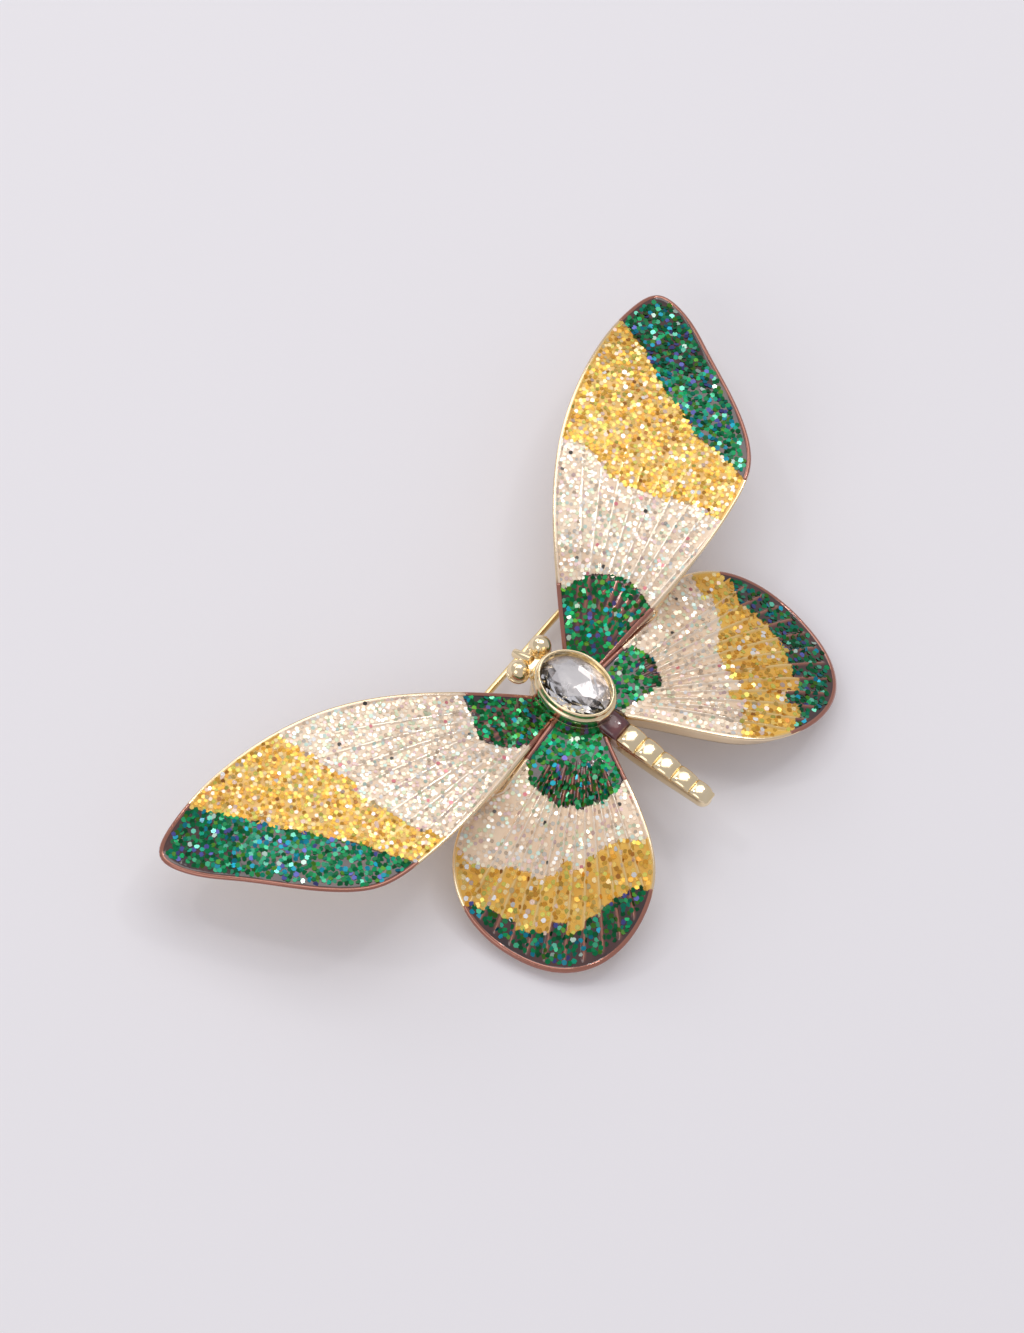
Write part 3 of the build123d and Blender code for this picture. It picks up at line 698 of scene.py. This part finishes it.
def buildTray(name, wing, side, line, inner, inward, starts, fan, limits, flip):
    # floor, inner wall, rounded rim, outer wall and back, one closed section carried round the outline
    keep = slice(None, None, 2)
    line, inner, inward, starts = line[keep], inner[keep], inward[keep], starts[keep]
    low = [limit[keep] for limit in limits]
    places, heights = [], []

    def put(spots, z):
        places.append(spots)
        heights.append(z)

    for share in np.linspace(0, 1, 5):
        spots = starts + (inner - starts) * share
        put(spots, archHeight(wing, spots, levels["floor"]))
    rim = ((0.45, -0.10), (0.40, -0.02), (0.29, 0.0), (0.16, 0.0), (0.05, -0.035), (0.0, -0.13))
    for inset, level in rim:
        spots = line + inward * inset
        put(spots, archHeight(wing, spots, level))
    # the edge stands upright beside the body and is rounded under everywhere else
    along = np.linspace(0, 1, len(line))
    rounding = smoothStep(*wing["wallStart"], along) * (1 - smoothStep(*wing["wall"], along))
    top, bottom = archHeight(wing, line, -0.13), backHeight(wing, line)
    tuck = rounding * np.minimum(0.60, 0.5 * (top - bottom))
    for share in (0.2, 0.4, 0.6, 0.8):
        put(line + inward * (tuck * share**1.4)[:, None], top + (bottom + 0.12 - top) * share)
    for inset, lift in ((0.01, 0.09), (0.06, 0.02), (0.16, 0.0), (0.45, 0.0)):
        spots = line + inward * (tuck + inset)[:, None]
        put(spots, backHeight(wing, spots) + lift)
    edge = line + inward * (tuck + 0.62)[:, None]
    for share in np.linspace(1, 0, 9):
        spots = starts + (edge - starts) * share
        put(spots, backHeight(wing, spots) + 0.10 * share)
    loop = np.concatenate([np.stack(places, 1), np.stack(heights, 1)[..., None]], -1) * flip
    rays, around = loop.shape[:2]
    # brown glaze on the rim and the edge beside the dark enamels
    dark = np.maximum(smoothStep(0.005, 0.03, 1 - low[3]), smoothStep(0.97, 0.995, low[1]))
    rimColumns = slice(4, 18)  # from the inner wall to where the back begins
    tint = np.zeros((rays, around))
    tint[:, rimColumns] = dark[:, None]
    tray = newPiece(
        f"{name}_{side}_casting", loop.reshape(-1, 3), cappedTube(rays, around), wingGilt,
        attributes={"glazeTint": tint.ravel()},
    )
    finishPiece(tray, "brooch", "wing_gold", f"{name}_{side}_tray")


# glitter
# mm from the rim over which the flakes thin out
flakeMargins = {"root": (0.15, 1.30), "clear": (-0.2, 0.1), "amber": (-0.2, 0.1), "tip": (0.05, 0.75)}
ribCover = {"root": 0.30, "clear": 0.40, "amber": 0.55, "tip": 0.75}  # share of flakes missing on the ribs
# flake colours, each with its share; the palest, nearly white colour of each palette is a painted glint of a
# flake catching the lamps
emeralds = [
    (0.30, (0.003, 0.151, 0.038)), (0.28, (0.003, 0.260, 0.072)), (0.12, (0.064, 0.210, 0.014)),
    (0.08, (0.008, 0.336, 0.198)), (0.05, (0.008, 0.277, 0.365)), (0.04, (0.104, 0.092, 0.304)),
    (0.05, (0.072, 0.504, 0.182)), (0.04, (0.192, 0.722, 0.395)), (0.02, (0.624, 0.798, 0.623)),
]
teals = [
    (0.28, (0.003, 0.116, 0.037)), (0.22, (0.003, 0.206, 0.070)), (0.13, (0.005, 0.232, 0.139)),
    (0.10, (0.051, 0.163, 0.015)), (0.09, (0.008, 0.232, 0.328)), (0.06, (0.086, 0.095, 0.328)),
    (0.06, (0.055, 0.378, 0.205)), (0.04, (0.172, 0.671, 0.476)), (0.02, (0.608, 0.817, 0.705)),
]
golds = [
    (0.26, (0.810, 0.448, 0.050)), (0.16, (0.720, 0.332, 0.025)), (0.18, (0.864, 0.581, 0.136)),
    (0.14, (0.702, 0.631, 0.112)), (0.10, (0.873, 0.664, 0.322)), (0.08, (0.864, 0.631, 0.496)),
    (0.02, (0.432, 0.166, 0.019)), (0.03, (1.000, 0.990, 0.960)),
]
pearls = [
    (0.30, (0.930, 0.770, 0.590)), (0.13, (0.860, 0.660, 0.480)), (0.17, (0.970, 0.890, 0.780)),
    (0.13, (0.830, 0.900, 0.620)), (0.11, (0.970, 0.700, 0.660)), (0.07, (0.700, 0.900, 0.780)),
    (0.05, (1.000, 1.000, 0.980)), (0.008, (0.860, 0.280, 0.310)), (0.004, (0.080, 0.070, 0.060)),
]
glitter = {
    "root": {"spread": 0.10, "tilt": 15.0, "palette": emeralds},
    "clear": {"spread": 0.14, "tilt": 11.0, "palette": pearls},
    "amber": {"spread": 0.14, "tilt": 12.0, "palette": golds},
    "tip": {"spread": 0.10, "tilt": 15.0, "palette": teals},
}
flakeSizes = {  # across, closest spacing and how many per square millimetre before they are thinned out
    "forewing": {
        "root": (0.60, 0.36, 12), "clear": (0.44, 0.31, 14),
        "amber": (0.48, 0.32, 14), "tip": (0.59, 0.35, 13),
    },
    "hindwing": {
        "root": (0.60, 0.36, 12), "clear": (0.47, 0.36, 8),
        "amber": (0.57, 0.40, 8), "tip": (0.61, 0.38, 10),
    },
}


def makeFlakeTree(zone):
    # hexagonal flakes scattered over an enamel's surface, each turned and tilted a little
    recipe = glitter[zone]
    tree = bpy.data.node_groups.new(f"{zone}Glitter", "GeometryNodeTree")
    tree.interface.new_socket("Geometry", in_out="INPUT", socket_type="NodeSocketGeometry")
    inputs = (
        ("Flake Size", 0.5 * mm), ("Size Spread", recipe["spread"]), ("Gap", 0.3 * mm),
        ("Density", 10 / mm**2), ("Tilt", radians(recipe["tilt"])), ("Lift", 0.03 * mm),
        ("Thickness", 0.03 * mm),
    )
    for label, value in inputs:
        tree.interface.new_socket(label, in_out="INPUT", socket_type="NodeSocketFloat").default_value = value
    tree.interface.new_socket("Seed", in_out="INPUT", socket_type="NodeSocketInt")
    tree.interface.new_socket("Geometry", in_out="OUTPUT", socket_type="NodeSocketGeometry")
    start, end = tree.nodes.new("NodeGroupInput"), tree.nodes.new("NodeGroupOutput")

    given = start.outputs

    def made(kind, sockets, **settings):
        # a node whose sockets hold plain values or are linked to other nodes' outputs
        node = addNode(tree, kind, **settings)
        for label, value in sockets.items():
            if isinstance(value, bpy.types.NodeSocket):
                tree.links.new(value, node.inputs[label])
            else:
                node.inputs[label].default_value = value
        return node.outputs

    def randomNumber(seedShift, low=0.0, high=1.0):
        seed = mathNode(tree, "ADD", given["Seed"], seedShift)
        return made("FunctionNodeRandomValue", {2: low, 3: high, "Seed": seed}, data_type="FLOAT")[1]

    cover = made("GeometryNodeInputNamedAttribute", {"Name": "flakeCover"}, data_type="FLOAT")["Attribute"]
    scatter = made("GeometryNodeDistributePointsOnFaces", {
        "Mesh": given["Geometry"], "Distance Min": given["Gap"], "Density Max": given["Density"],
        "Density Factor": cover, "Seed": given["Seed"],
    }, distribute_method="POISSON")
    radius = mathNode(tree, "MULTIPLY", given["Flake Size"], 0.5)
    flake = made("GeometryNodeMeshCylinder", {
        "Vertices": 6, "Depth": given["Thickness"], "Radius": radius,
    }, fill_type="NGON")["Mesh"]

    # any heading, and a lean of up to the tilt either way
    most = made("ShaderNodeCombineXYZ", {"X": given["Tilt"], "Y": given["Tilt"], "Z": pi})["Vector"]
    least = made("ShaderNodeVectorMath", {0: most, "Scale": -1}, operation="SCALE")["Vector"]
    lean = made("FunctionNodeRandomValue", {
        "Min": least, "Max": most, "Seed": given["Seed"],
    }, data_type="FLOAT_VECTOR")["Value"]
    turn = made("FunctionNodeEulerToRotation", {0: lean})[0]
    turned = made("FunctionNodeRotateRotation", {
        "Rotation": scatter["Rotation"], "Rotate By": turn,
    }, rotation_space="LOCAL")["Rotation"]
    spread = given["Size Spread"]
    grow = randomNumber(7, mathNode(tree, "SUBTRACT", 1.0, spread), mathNode(tree, "ADD", 1.0, spread))
    placed = made("GeometryNodeInstanceOnPoints", {
        "Points": scatter["Points"], "Instance": flake, "Rotation": turned, "Scale": grow,
    })["Instances"]
    upward = made("ShaderNodeCombineXYZ", {"Z": given["Lift"]})["Vector"]
    raised = made("GeometryNodeTranslateInstances", {"Instances": placed, "Translation": upward})["Instances"]

    # one colour of the palette for each flake, lighter or darker at random: partly the flakes' own tone, partly
    # painted glints and dull flakes for how each one catches the lamps
    ramp = addNode(tree, "ShaderNodeValToRGB")
    ramp.color_ramp.interpolation = "CONSTANT"
    stops = ramp.color_ramp.elements
    stops.remove(stops[1])
    total, done = sum(share for share, colour in recipe["palette"]), 0.0
    for index, (share, colour) in enumerate(recipe["palette"]):
        stop = stops[0] if index == 0 else stops.new(done)
        stop.position, stop.color = done, (*colour, 1)
        done += share / total
    tree.links.new(randomNumber(3), ramp.inputs["Fac"])
    tonedWithGlint = made("ShaderNodeVectorMath", {
        0: ramp.outputs["Color"], "Scale": randomNumber(5, 0.62, 1.25),
    }, operation="SCALE")["Vector"]
    stored = made("GeometryNodeStoreNamedAttribute", {
        "Name": "flakeToneAndGlint", "Geometry": raised, "Value": tonedWithGlint,
    }, data_type="FLOAT_COLOR", domain="INSTANCE")["Geometry"]
    real = made("GeometryNodeRealizeInstances", {"Geometry": stored})["Geometry"]
    painted = made("GeometryNodeSetMaterial", {"Geometry": real, "Material": flakePaint[zone]})["Geometry"]
    tree.links.new(painted, end.inputs["Geometry"])
    return tree


def socketOf(tree, label):
    for item in tree.interface.items_tree:
        if item.item_type == "SOCKET" and item.in_out == "INPUT" and item.name == label:
            return item.identifier
    raise KeyError(label)


def bakeTree(name, base, tree, values):
    # runs a node tree on a mesh and keeps the result as a plain mesh
    modifier = base.modifiers.new("nodes", "NODES")
    modifier.node_group = tree
    for label, value in values.items():
        modifier[socketOf(tree, label)] = value
    graph = bpy.context.evaluated_depsgraph_get()
    mesh = bpy.data.meshes.new_from_object(
        base.evaluated_get(graph), preserve_all_data_layers=True, depsgraph=graph)
    base.modifiers.remove(modifier)
    piece = bpy.data.objects.new(name, mesh)
    mesh.name = name
    scene.collection.objects.link(piece)
    return piece


flakeTrees = {zone: makeFlakeTree(zone) for zone in glitter}


def scatterFlakes(name, side, zone, top, cover, seed):
    rays, rows = cover.shape
    mesh = bpy.data.meshes.new("scatterBase")
    mesh.from_pydata((top.reshape(-1, 3) * mm).tolist(), [], gridFaces(rays, rows))
    layer = mesh.attributes.new("flakeCover", "FLOAT", "POINT")
    layer.data.foreach_set("value", cover.ravel().astype(np.float32))
    work = bmesh.new()
    work.from_mesh(mesh)
    bmesh.ops.remove_doubles(work, verts=work.verts, dist=weldDistance)
    for face in work.faces:
        if face.normal.z < 0:
            face.normal_flip()
    work.to_mesh(mesh)
    work.free()
    base = bpy.data.objects.new("scatterBase", mesh)
    scene.collection.objects.link(base)
    size, gap, density = flakeSizes[name][zone]
    values = {"Seed": seed, "Flake Size": size * mm, "Gap": gap * mm, "Density": density / mm**2}
    piece = bakeTree(f"{name}_{side}_{zone}_glitter", base, flakeTrees[zone], values)
    # no flake reaches outside the brooch's own box
    corners = np.empty(len(piece.data.vertices) * 3, np.float32)
    piece.data.vertices.foreach_get("co", corners)
    corners = np.clip(corners.reshape(-1, 3), *[np.array(corner, np.float32) for corner in cadBox])
    piece.data.vertices.foreach_set("co", corners.ravel())
    bpy.data.objects.remove(base)
    bpy.data.meshes.remove(mesh)
    finishPiece(piece, "brooch", enamelSlots[zone])


for wingIndex, (wingName, wing) in enumerate((("forewing", forewing), ("hindwing", hindwing))):
    for sideIndex, side in enumerate(("right", "left")):
        seed = 11 + 10 * wingIndex + sideIndex
        surfaces = buildWing(wingName, wing, side, seed)
        for zoneIndex, (zone, (top, cover)) in enumerate(surfaces.items()):
            scatterFlakes(wingName, side, zone, top, cover, seed * 100 + zoneIndex)
        print(wingName, side, "built")


# stone, foil and bezel
stoneShape = {
    "halfWidth": 3.0, "halfLength": 4.0, "girdle": 1.5, "girdleHeight": 0.22, "crown": 1.33, "table": 0.55,
    "middle": 0.80, "middleRise": 0.55, "pavilion": 0.78, "culet": 0.10,
}


def ovalRing(share, height, count, offset=0.0):
    wide, long = stoneShape["halfWidth"] * share, stoneShape["halfLength"] * share
    turns = [2 * pi * (index + offset) / count for index in range(count)]
    return [(wide * cos(t), bodyY + long * sin(t), bodyZ + height) for t in turns]


def buildStone():
    s = stoneShape
    base = s["girdle"]
    top = base + s["girdleHeight"]
    table = ovalRing(s["table"], top + s["crown"], 8, 0.5)
    middle = ovalRing(s["middle"], top + s["crown"] * s["middleRise"], 8)
    upper = ovalRing(1.0, top, 16)
    lower = ovalRing(1.0, base, 16)
    belly = ovalRing(0.55, base - s["pavilion"] * 0.62, 8, 0.5)
    points = table + middle + upper + lower + belly + [(0, bodyY, bodyZ + base - s["pavilion"])]
    t, m, u, l, b, c = 0, 8, 16, 32, 48, 56
    faces = [tuple(range(8))]
    for i in range(8):
        after = (i + 1) % 8
        before = (i - 1) % 8
        faces.append((t + before, m + i, t + i))
        faces.append((m + i, u + 2 * i, u + (2 * i + 1) % 16))
        faces.append((m + i, u + (2 * i - 1) % 16, u + 2 * i))
        faces.append((t + i, m + i, u + (2 * i + 1) % 16))
        faces.append((t + i, u + (2 * i + 1) % 16, m + after))
        faces.append((l + 2 * i, b + i, l + 2 * i + 1))
        faces.append((l + (2 * i + 1) % 16, b + i, l + (2 * i + 2) % 16))
        faces.append((l + 2 * i, b + before, b + i))
        faces.append((b + before, c, b + i))
    for i in range(16):
        faces.append((u + i, l + i, l + (i + 1) % 16, u + (i + 1) % 16))
    material, tree, shader = newMaterial(
        "clearStone", Base_Color=(0.97, 0.97, 0.98), Roughness=0.0, IOR=1.56, Transmission_Weight=1.0)
    dust = textureNode(tree, "ShaderNodeTexNoise", 900).outputs["Fac"]
    tree.links.new(mathNode(tree, "MULTIPLY", dust, 0.02), shader.inputs["Roughness"])
    stone = newPiece("facetted_stone", points, faces, material, smooth=False)
    finishPiece(stone, "brooch", "crystal", "stone")


def buildFoil():
    # silvered cup just under the stone's pavilion, crazed into two champagne tones
    s = stoneShape
    rim = ovalRing(0.999, s["girdle"] - 0.02, 16)
    inner = ovalRing(0.55, s["girdle"] - s["pavilion"] * 0.62 - 0.03, 8, 0.5)
    outerRim = ovalRing(0.999, s["girdle"] - 0.10, 16)
    outer = ovalRing(0.50, s["girdle"] - s["pavilion"] * 0.62 - 0.10, 8, 0.5)
    points = rim + inner + [(0, bodyY, bodyZ + s["girdle"] - s["pavilion"] - 0.03)]
    points += outerRim + outer + [(0, bodyY, bodyZ + s["girdle"] - s["pavilion"] - 0.10)]
    faces = []
    for base in (0, 25):
        r, n, c = base, base + 16, base + 24
        for i in range(8):
            before = (i - 1) % 8
            faces.append((r + 2 * i, n + i, r + 2 * i + 1))
            faces.append((r + (2 * i + 1) % 16, n + i, r + (2 * i + 2) % 16))
            faces.append((r + 2 * i, n + before, n + i))
            faces.append((n + before, c, n + i))
    for i in range(16):
        faces.append((i, (i + 1) % 16, 25 + (i + 1) % 16, 25 + i))
    material, tree, shader = newMaterial("stoneFoil", Metallic=1.0)
    cells = textureNode(tree, "ShaderNodeTexVoronoi", 480)
    silver = twoTone(tree, cells.outputs["Color"], (0.12, (0.80, 0.66, 0.54)), (0.42, (1.0, 0.96, 0.93)))
    split = addNode(tree, "ShaderNodeSeparateXYZ")
    tree.links.new(objectPlace(tree), split.inputs[0])
    # copper towards the girdle
    girdle = bodyZ + s["girdle"]
    rise = maskBetween(tree, split.outputs["Z"], (girdle - 0.30) * mm, (girdle - 0.02) * mm)
    tree.links.new(mixColour(tree, rise, silver, (0.62, 0.42, 0.28)), shader.inputs["Base Color"])
    rough = mathNode(tree, "MULTIPLY_ADD", cells.outputs["Distance"], 0.2, 0.12)
    tree.links.new(rough, shader.inputs["Roughness"])
    foil = newPiece("stone_silvering", points, faces, material, smooth=False)
    finishPiece(foil, "brooch", "foil", "stone_foil")


bezelShape = {
    "rays": 144, "halfWidth": 3.7, "halfLength": 4.7,
    # distance in from the outside of the wall, and height above the body plane
    "section": [
        (0.0, 0.30), (0.0, 1.30), (0.02, 1.56), (0.08, 1.75), (0.17, 1.87), (0.25, 1.90), (0.28, 1.93),
        (0.29, 2.05), (0.31, 2.32), (0.36, 2.48), (0.43, 2.57), (0.50, 2.58), (0.57, 2.52), (0.62, 2.36),
        (0.65, 2.05), (0.66, 1.52), (0.9, 1.42), (0.9, 0.30),
    ],
}


def buildBezel():
    points = []
    for ray in range(bezelShape["rays"]):
        turn = 2 * pi * ray / bezelShape["rays"]
        sway = 0.012 * sin(3 * turn + 0.4) + 0.008 * sin(7 * turn)
        for inset, height in bezelShape["section"]:
            shift = sway if height > 1.0 and inset > 0.25 else 0.0
            points.append((
                (bezelShape["halfWidth"] - inset + shift) * cos(turn),
                bodyY + (bezelShape["halfLength"] - inset + shift) * sin(turn),
                bodyZ + height,
            ))
    faces = gridFaces(bezelShape["rays"], len(bezelShape["section"]), closeRows=True, closeColumns=True)
    bezel = newPiece("bezel_double_rim", points, faces, gilt)
    finishPiece(bezel, "brooch", "gold", "bezel_cup")


buildStone()
buildFoil()
buildBezel()
print("stone set")


# abdomen
abdomenShape = {
    "start": -4.23, "end": -18.2, "segments": 6, "halfWidth": 1.35, "tipHalfWidth": 1.0,
    "bottom": -2.6, "top": -0.5, "domeHeight": 0.78, "rings": 13, "spokes": 25,
}


def abdomenWidth(y):
    # half width of the abdomen's plan at a distance from the stone, rounded off at the tip
    s = abdomenShape
    width = np.interp(-y, [9.1, -s["end"] - s["tipHalfWidth"]], [s["halfWidth"], s["tipHalfWidth"]])
    past = np.clip((-y - (-s["end"] - s["tipHalfWidth"])) / s["tipHalfWidth"], 0, 1)
    return width * np.sqrt(np.maximum(1 - past**2, 0))


def buildSegments(name, indices, material, slot, node):
    s = abdomenShape
    length = (s["start"] - s["end"]) / s["segments"]
    points, faces = [], []
    for index in indices:
        first = len(points)
        for ring in range(s["rings"]):
            share = ring / (s["rings"] - 1)
            y = s["start"] - (index + share) * length
            if index:
                swell = (max(sin(pi * min(share * 1.02, 1.0)), 0.0)) ** 0.6
            else:
                swell = sqrt(max(1 - share**5, 0.0))
            pulledIn = 0.28 if index == 5 and share > 0.9 else 0.0
            width = float(abdomenWidth(y + pulledIn)) * (0.90 + 0.09 * swell)
            taper = 1.0 if index < 5 else 1 - 0.75 * share**3
            height = s["domeHeight"] * (0.42 + 0.56 * swell) * (1 - 0.05 * index) * taper
            for spoke in range(s["spokes"]):
                turn = pi * spoke / (s["spokes"] - 1)
                points.append((
                    width * cos(turn), bodyY + y,
                    bodyZ + s["top"] - 0.05 + (height + 0.05) * max(sin(turn), 0.0) ** 0.65,
                ))
        faces += cappedTube(s["rings"], s["spokes"], first)
    piece = newPiece(name, points, faces, material)
    finishPiece(piece, "brooch", slot, node)


def buildAbdomenBase(material):
    # plan loop of the abdomen carried up from its underside, with both edges rounded over
    s = abdomenShape
    tip = -18.2 + 1.6 * (1 - np.sin(np.linspace(0, pi / 2, 16)))
    ys = np.concatenate([np.linspace(-3.2, -16.6, 40), tip])
    widths = abdomenWidth(ys)
    side = np.stack([widths, ys], 1)
    plan = np.vstack([side, (side * (-1, 1))[::-1][1:]])
    outwards = np.gradient(plan, axis=0)
    outwards = np.stack([-outwards[:, 1], outwards[:, 0]], 1)
    outwards /= np.linalg.norm(outwards, axis=1)[:, None]
    if (outwards[5] * (1, 0)).sum() < 0:
        outwards = -outwards
    points = []
    lift = 0.55 * smoothStep(11.0, 18.2, -plan[:, 1])
    for inset, height in (
        (0.60, 0.0), (0.34, 0.05), (0.14, 0.20), (0.03, 0.45), (0.0, 0.75), (0.0, 1.15), (0.02, 1.50),
        (0.07, 1.78), (0.15, 1.97), (0.26, 2.1),
    ):
        spots = plan - outwards * inset
        z = s["bottom"] + lift * (1 - height / 2.1) + height
        points.append(np.stack([spots[:, 0], bodyY + spots[:, 1], bodyZ + z], 1))
    faces = cappedTube(len(points), len(plan))
    piece = newPiece("abdomen_cast_base", np.concatenate(points), faces, material)
    finishPiece(piece, "brooch", "gold", "abdomen_base")


def makeSplashedGilt():
    # gilt with enamel that ran over the root of the abdomen
    material, tree, shader = newMaterial("splashedGilt", Coat_Roughness=0.06)
    grain = placeGroup(tree, castGrain, Depth=0.12, Roughness=0.14, **giltColours)
    place = objectPlace(tree)
    split = addNode(tree, "ShaderNodeSeparateXYZ")
    tree.links.new(place, split.inputs[0])
    blot = textureNode(tree, "ShaderNodeTexNoise", 1100, place).outputs["Fac"]
    edge = mathNode(tree, "MULTIPLY_ADD", blot, 0.0042, split.outputs["Y"])
    reach = maskBetween(tree, edge, (bodyY - 5.9) * mm, (bodyY - 4.9) * mm)
    spots = textureNode(tree, "ShaderNodeTexVoronoi", 1900, place).outputs["Color"]
    splash = twoTone(tree, spots, (0.30, (0.55, 0.30, 0.06)), (0.70, (0.95, 0.80, 0.66)))
    tree.links.new(mixColour(tree, reach, grain.outputs["Colour"], splash), shader.inputs["Base Color"])
    tree.links.new(mathNode(tree, "MULTIPLY_ADD", reach, -0.8, 1.0), shader.inputs["Metallic"])
    linkSame(tree, grain, shader, "Roughness", "Normal")
    tree.links.new(reach, shader.inputs["Coat Weight"])
    return material


brownGlaze = makeEnamel(
    "brownSplash", (0.20, 0.065, 0.065), (0.07, 0.020, 0.030), (0.3, 0.1, 0.08), 0.0, ripple=0.45, scale=2.0)
buildAbdomenBase(makeSplashedGilt())
buildSegments("abdomen_glazed_plate", [0], brownGlaze, "brown_enamel", "abdomen_enamel")
buildSegments("abdomen_domed_plates", range(1, 6), gilt, "gold", "abdomen_segments")
print("abdomen built")


# head
headShape = {
    # distance ahead of the stone, half width, underside, top and how square the section is
    "sections": [
        (3.75, 1.70, -1.25, -0.25, 2.6), (4.35, 1.62, -1.25, -0.15, 2.6), (4.62, 1.44, -1.15, -0.28, 2.4),
        (4.78, 1.50, -1.18, -0.18, 2.4), (4.95, 1.62, -1.22, -0.14, 2.4), (5.40, 1.70, -1.26, -0.16, 2.4),
        (5.90, 1.70, -1.26, -0.18, 2.4), (6.40, 1.50, -1.20, -0.24, 2.3), (6.75, 1.05, -1.05, -0.36, 2.1),
        (6.92, 0.40, -0.85, -0.55, 2.0),
    ],
    "collar": {"radius": 1.06, "wire": 0.17, "height": -0.52, "turns": 48, "around": 14},
}


def buildHead():
    points, faces, around = [], [], 40
    for y, halfWidth, low, high, square in headShape["sections"]:
        for step in range(around):
            turn = 2 * pi * step / around
            across = abs(cos(turn)) ** (2 / square) * (1 if cos(turn) >= 0 else -1)
            up = abs(sin(turn)) ** (2 / square) * (1 if sin(turn) >= 0 else -1)
            points.append((halfWidth * across, bodyY + y, bodyZ + (low + high) / 2 + (high - low) / 2 * up))
    faces += cappedTube(len(headShape["sections"]), around)
    c = headShape["collar"]
    for eye in ("eye_left", "eye_right"):
        low, high = (np.array(corner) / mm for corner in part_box(eye))
        centre = (low + high) / 2
        first = len(points)
        for step in range(c["turns"]):
            turn = 2 * pi * step / c["turns"]
            for part in range(c["around"]):
                bend = 2 * pi * part / c["around"]
                reach = c["radius"] + c["wire"] * cos(bend)
                points.append((
                    centre[0] + reach * cos(turn), centre[1] + reach * sin(turn),
                    bodyZ + c["height"] + c["wire"] * 1.5 * sin(bend),
                ))
        ring = gridFaces(c["turns"], c["around"], closeRows=True, closeColumns=True)
        faces += [tuple(corner + first for corner in face) for face in ring]
    head = newPiece("head_with_eye_collars", points, faces, gilt)
    finishPiece(head, "brooch", "gold", "head")


buildHead()
print("head built")


# thorax, hinge and catch
for node, width in (
    ("thorax", 0.12), ("eye_left", 0.05), ("eye_right", 0.05), ("snout", 0.08),
    ("hinge_bracket", 0.12), ("hinge_rivet", 0.08), ("catch_barrel", 0.12),
):
    softenedNode(node, gilt, "gold", width=width)
softenedNode("pin_stem", wireGilt, "gold", body="pin", width=0.08)
softenedNode("catch_sleeve", wireGilt, "gold", body="catch_lock", width=0.08)
print("body and fittings finished")
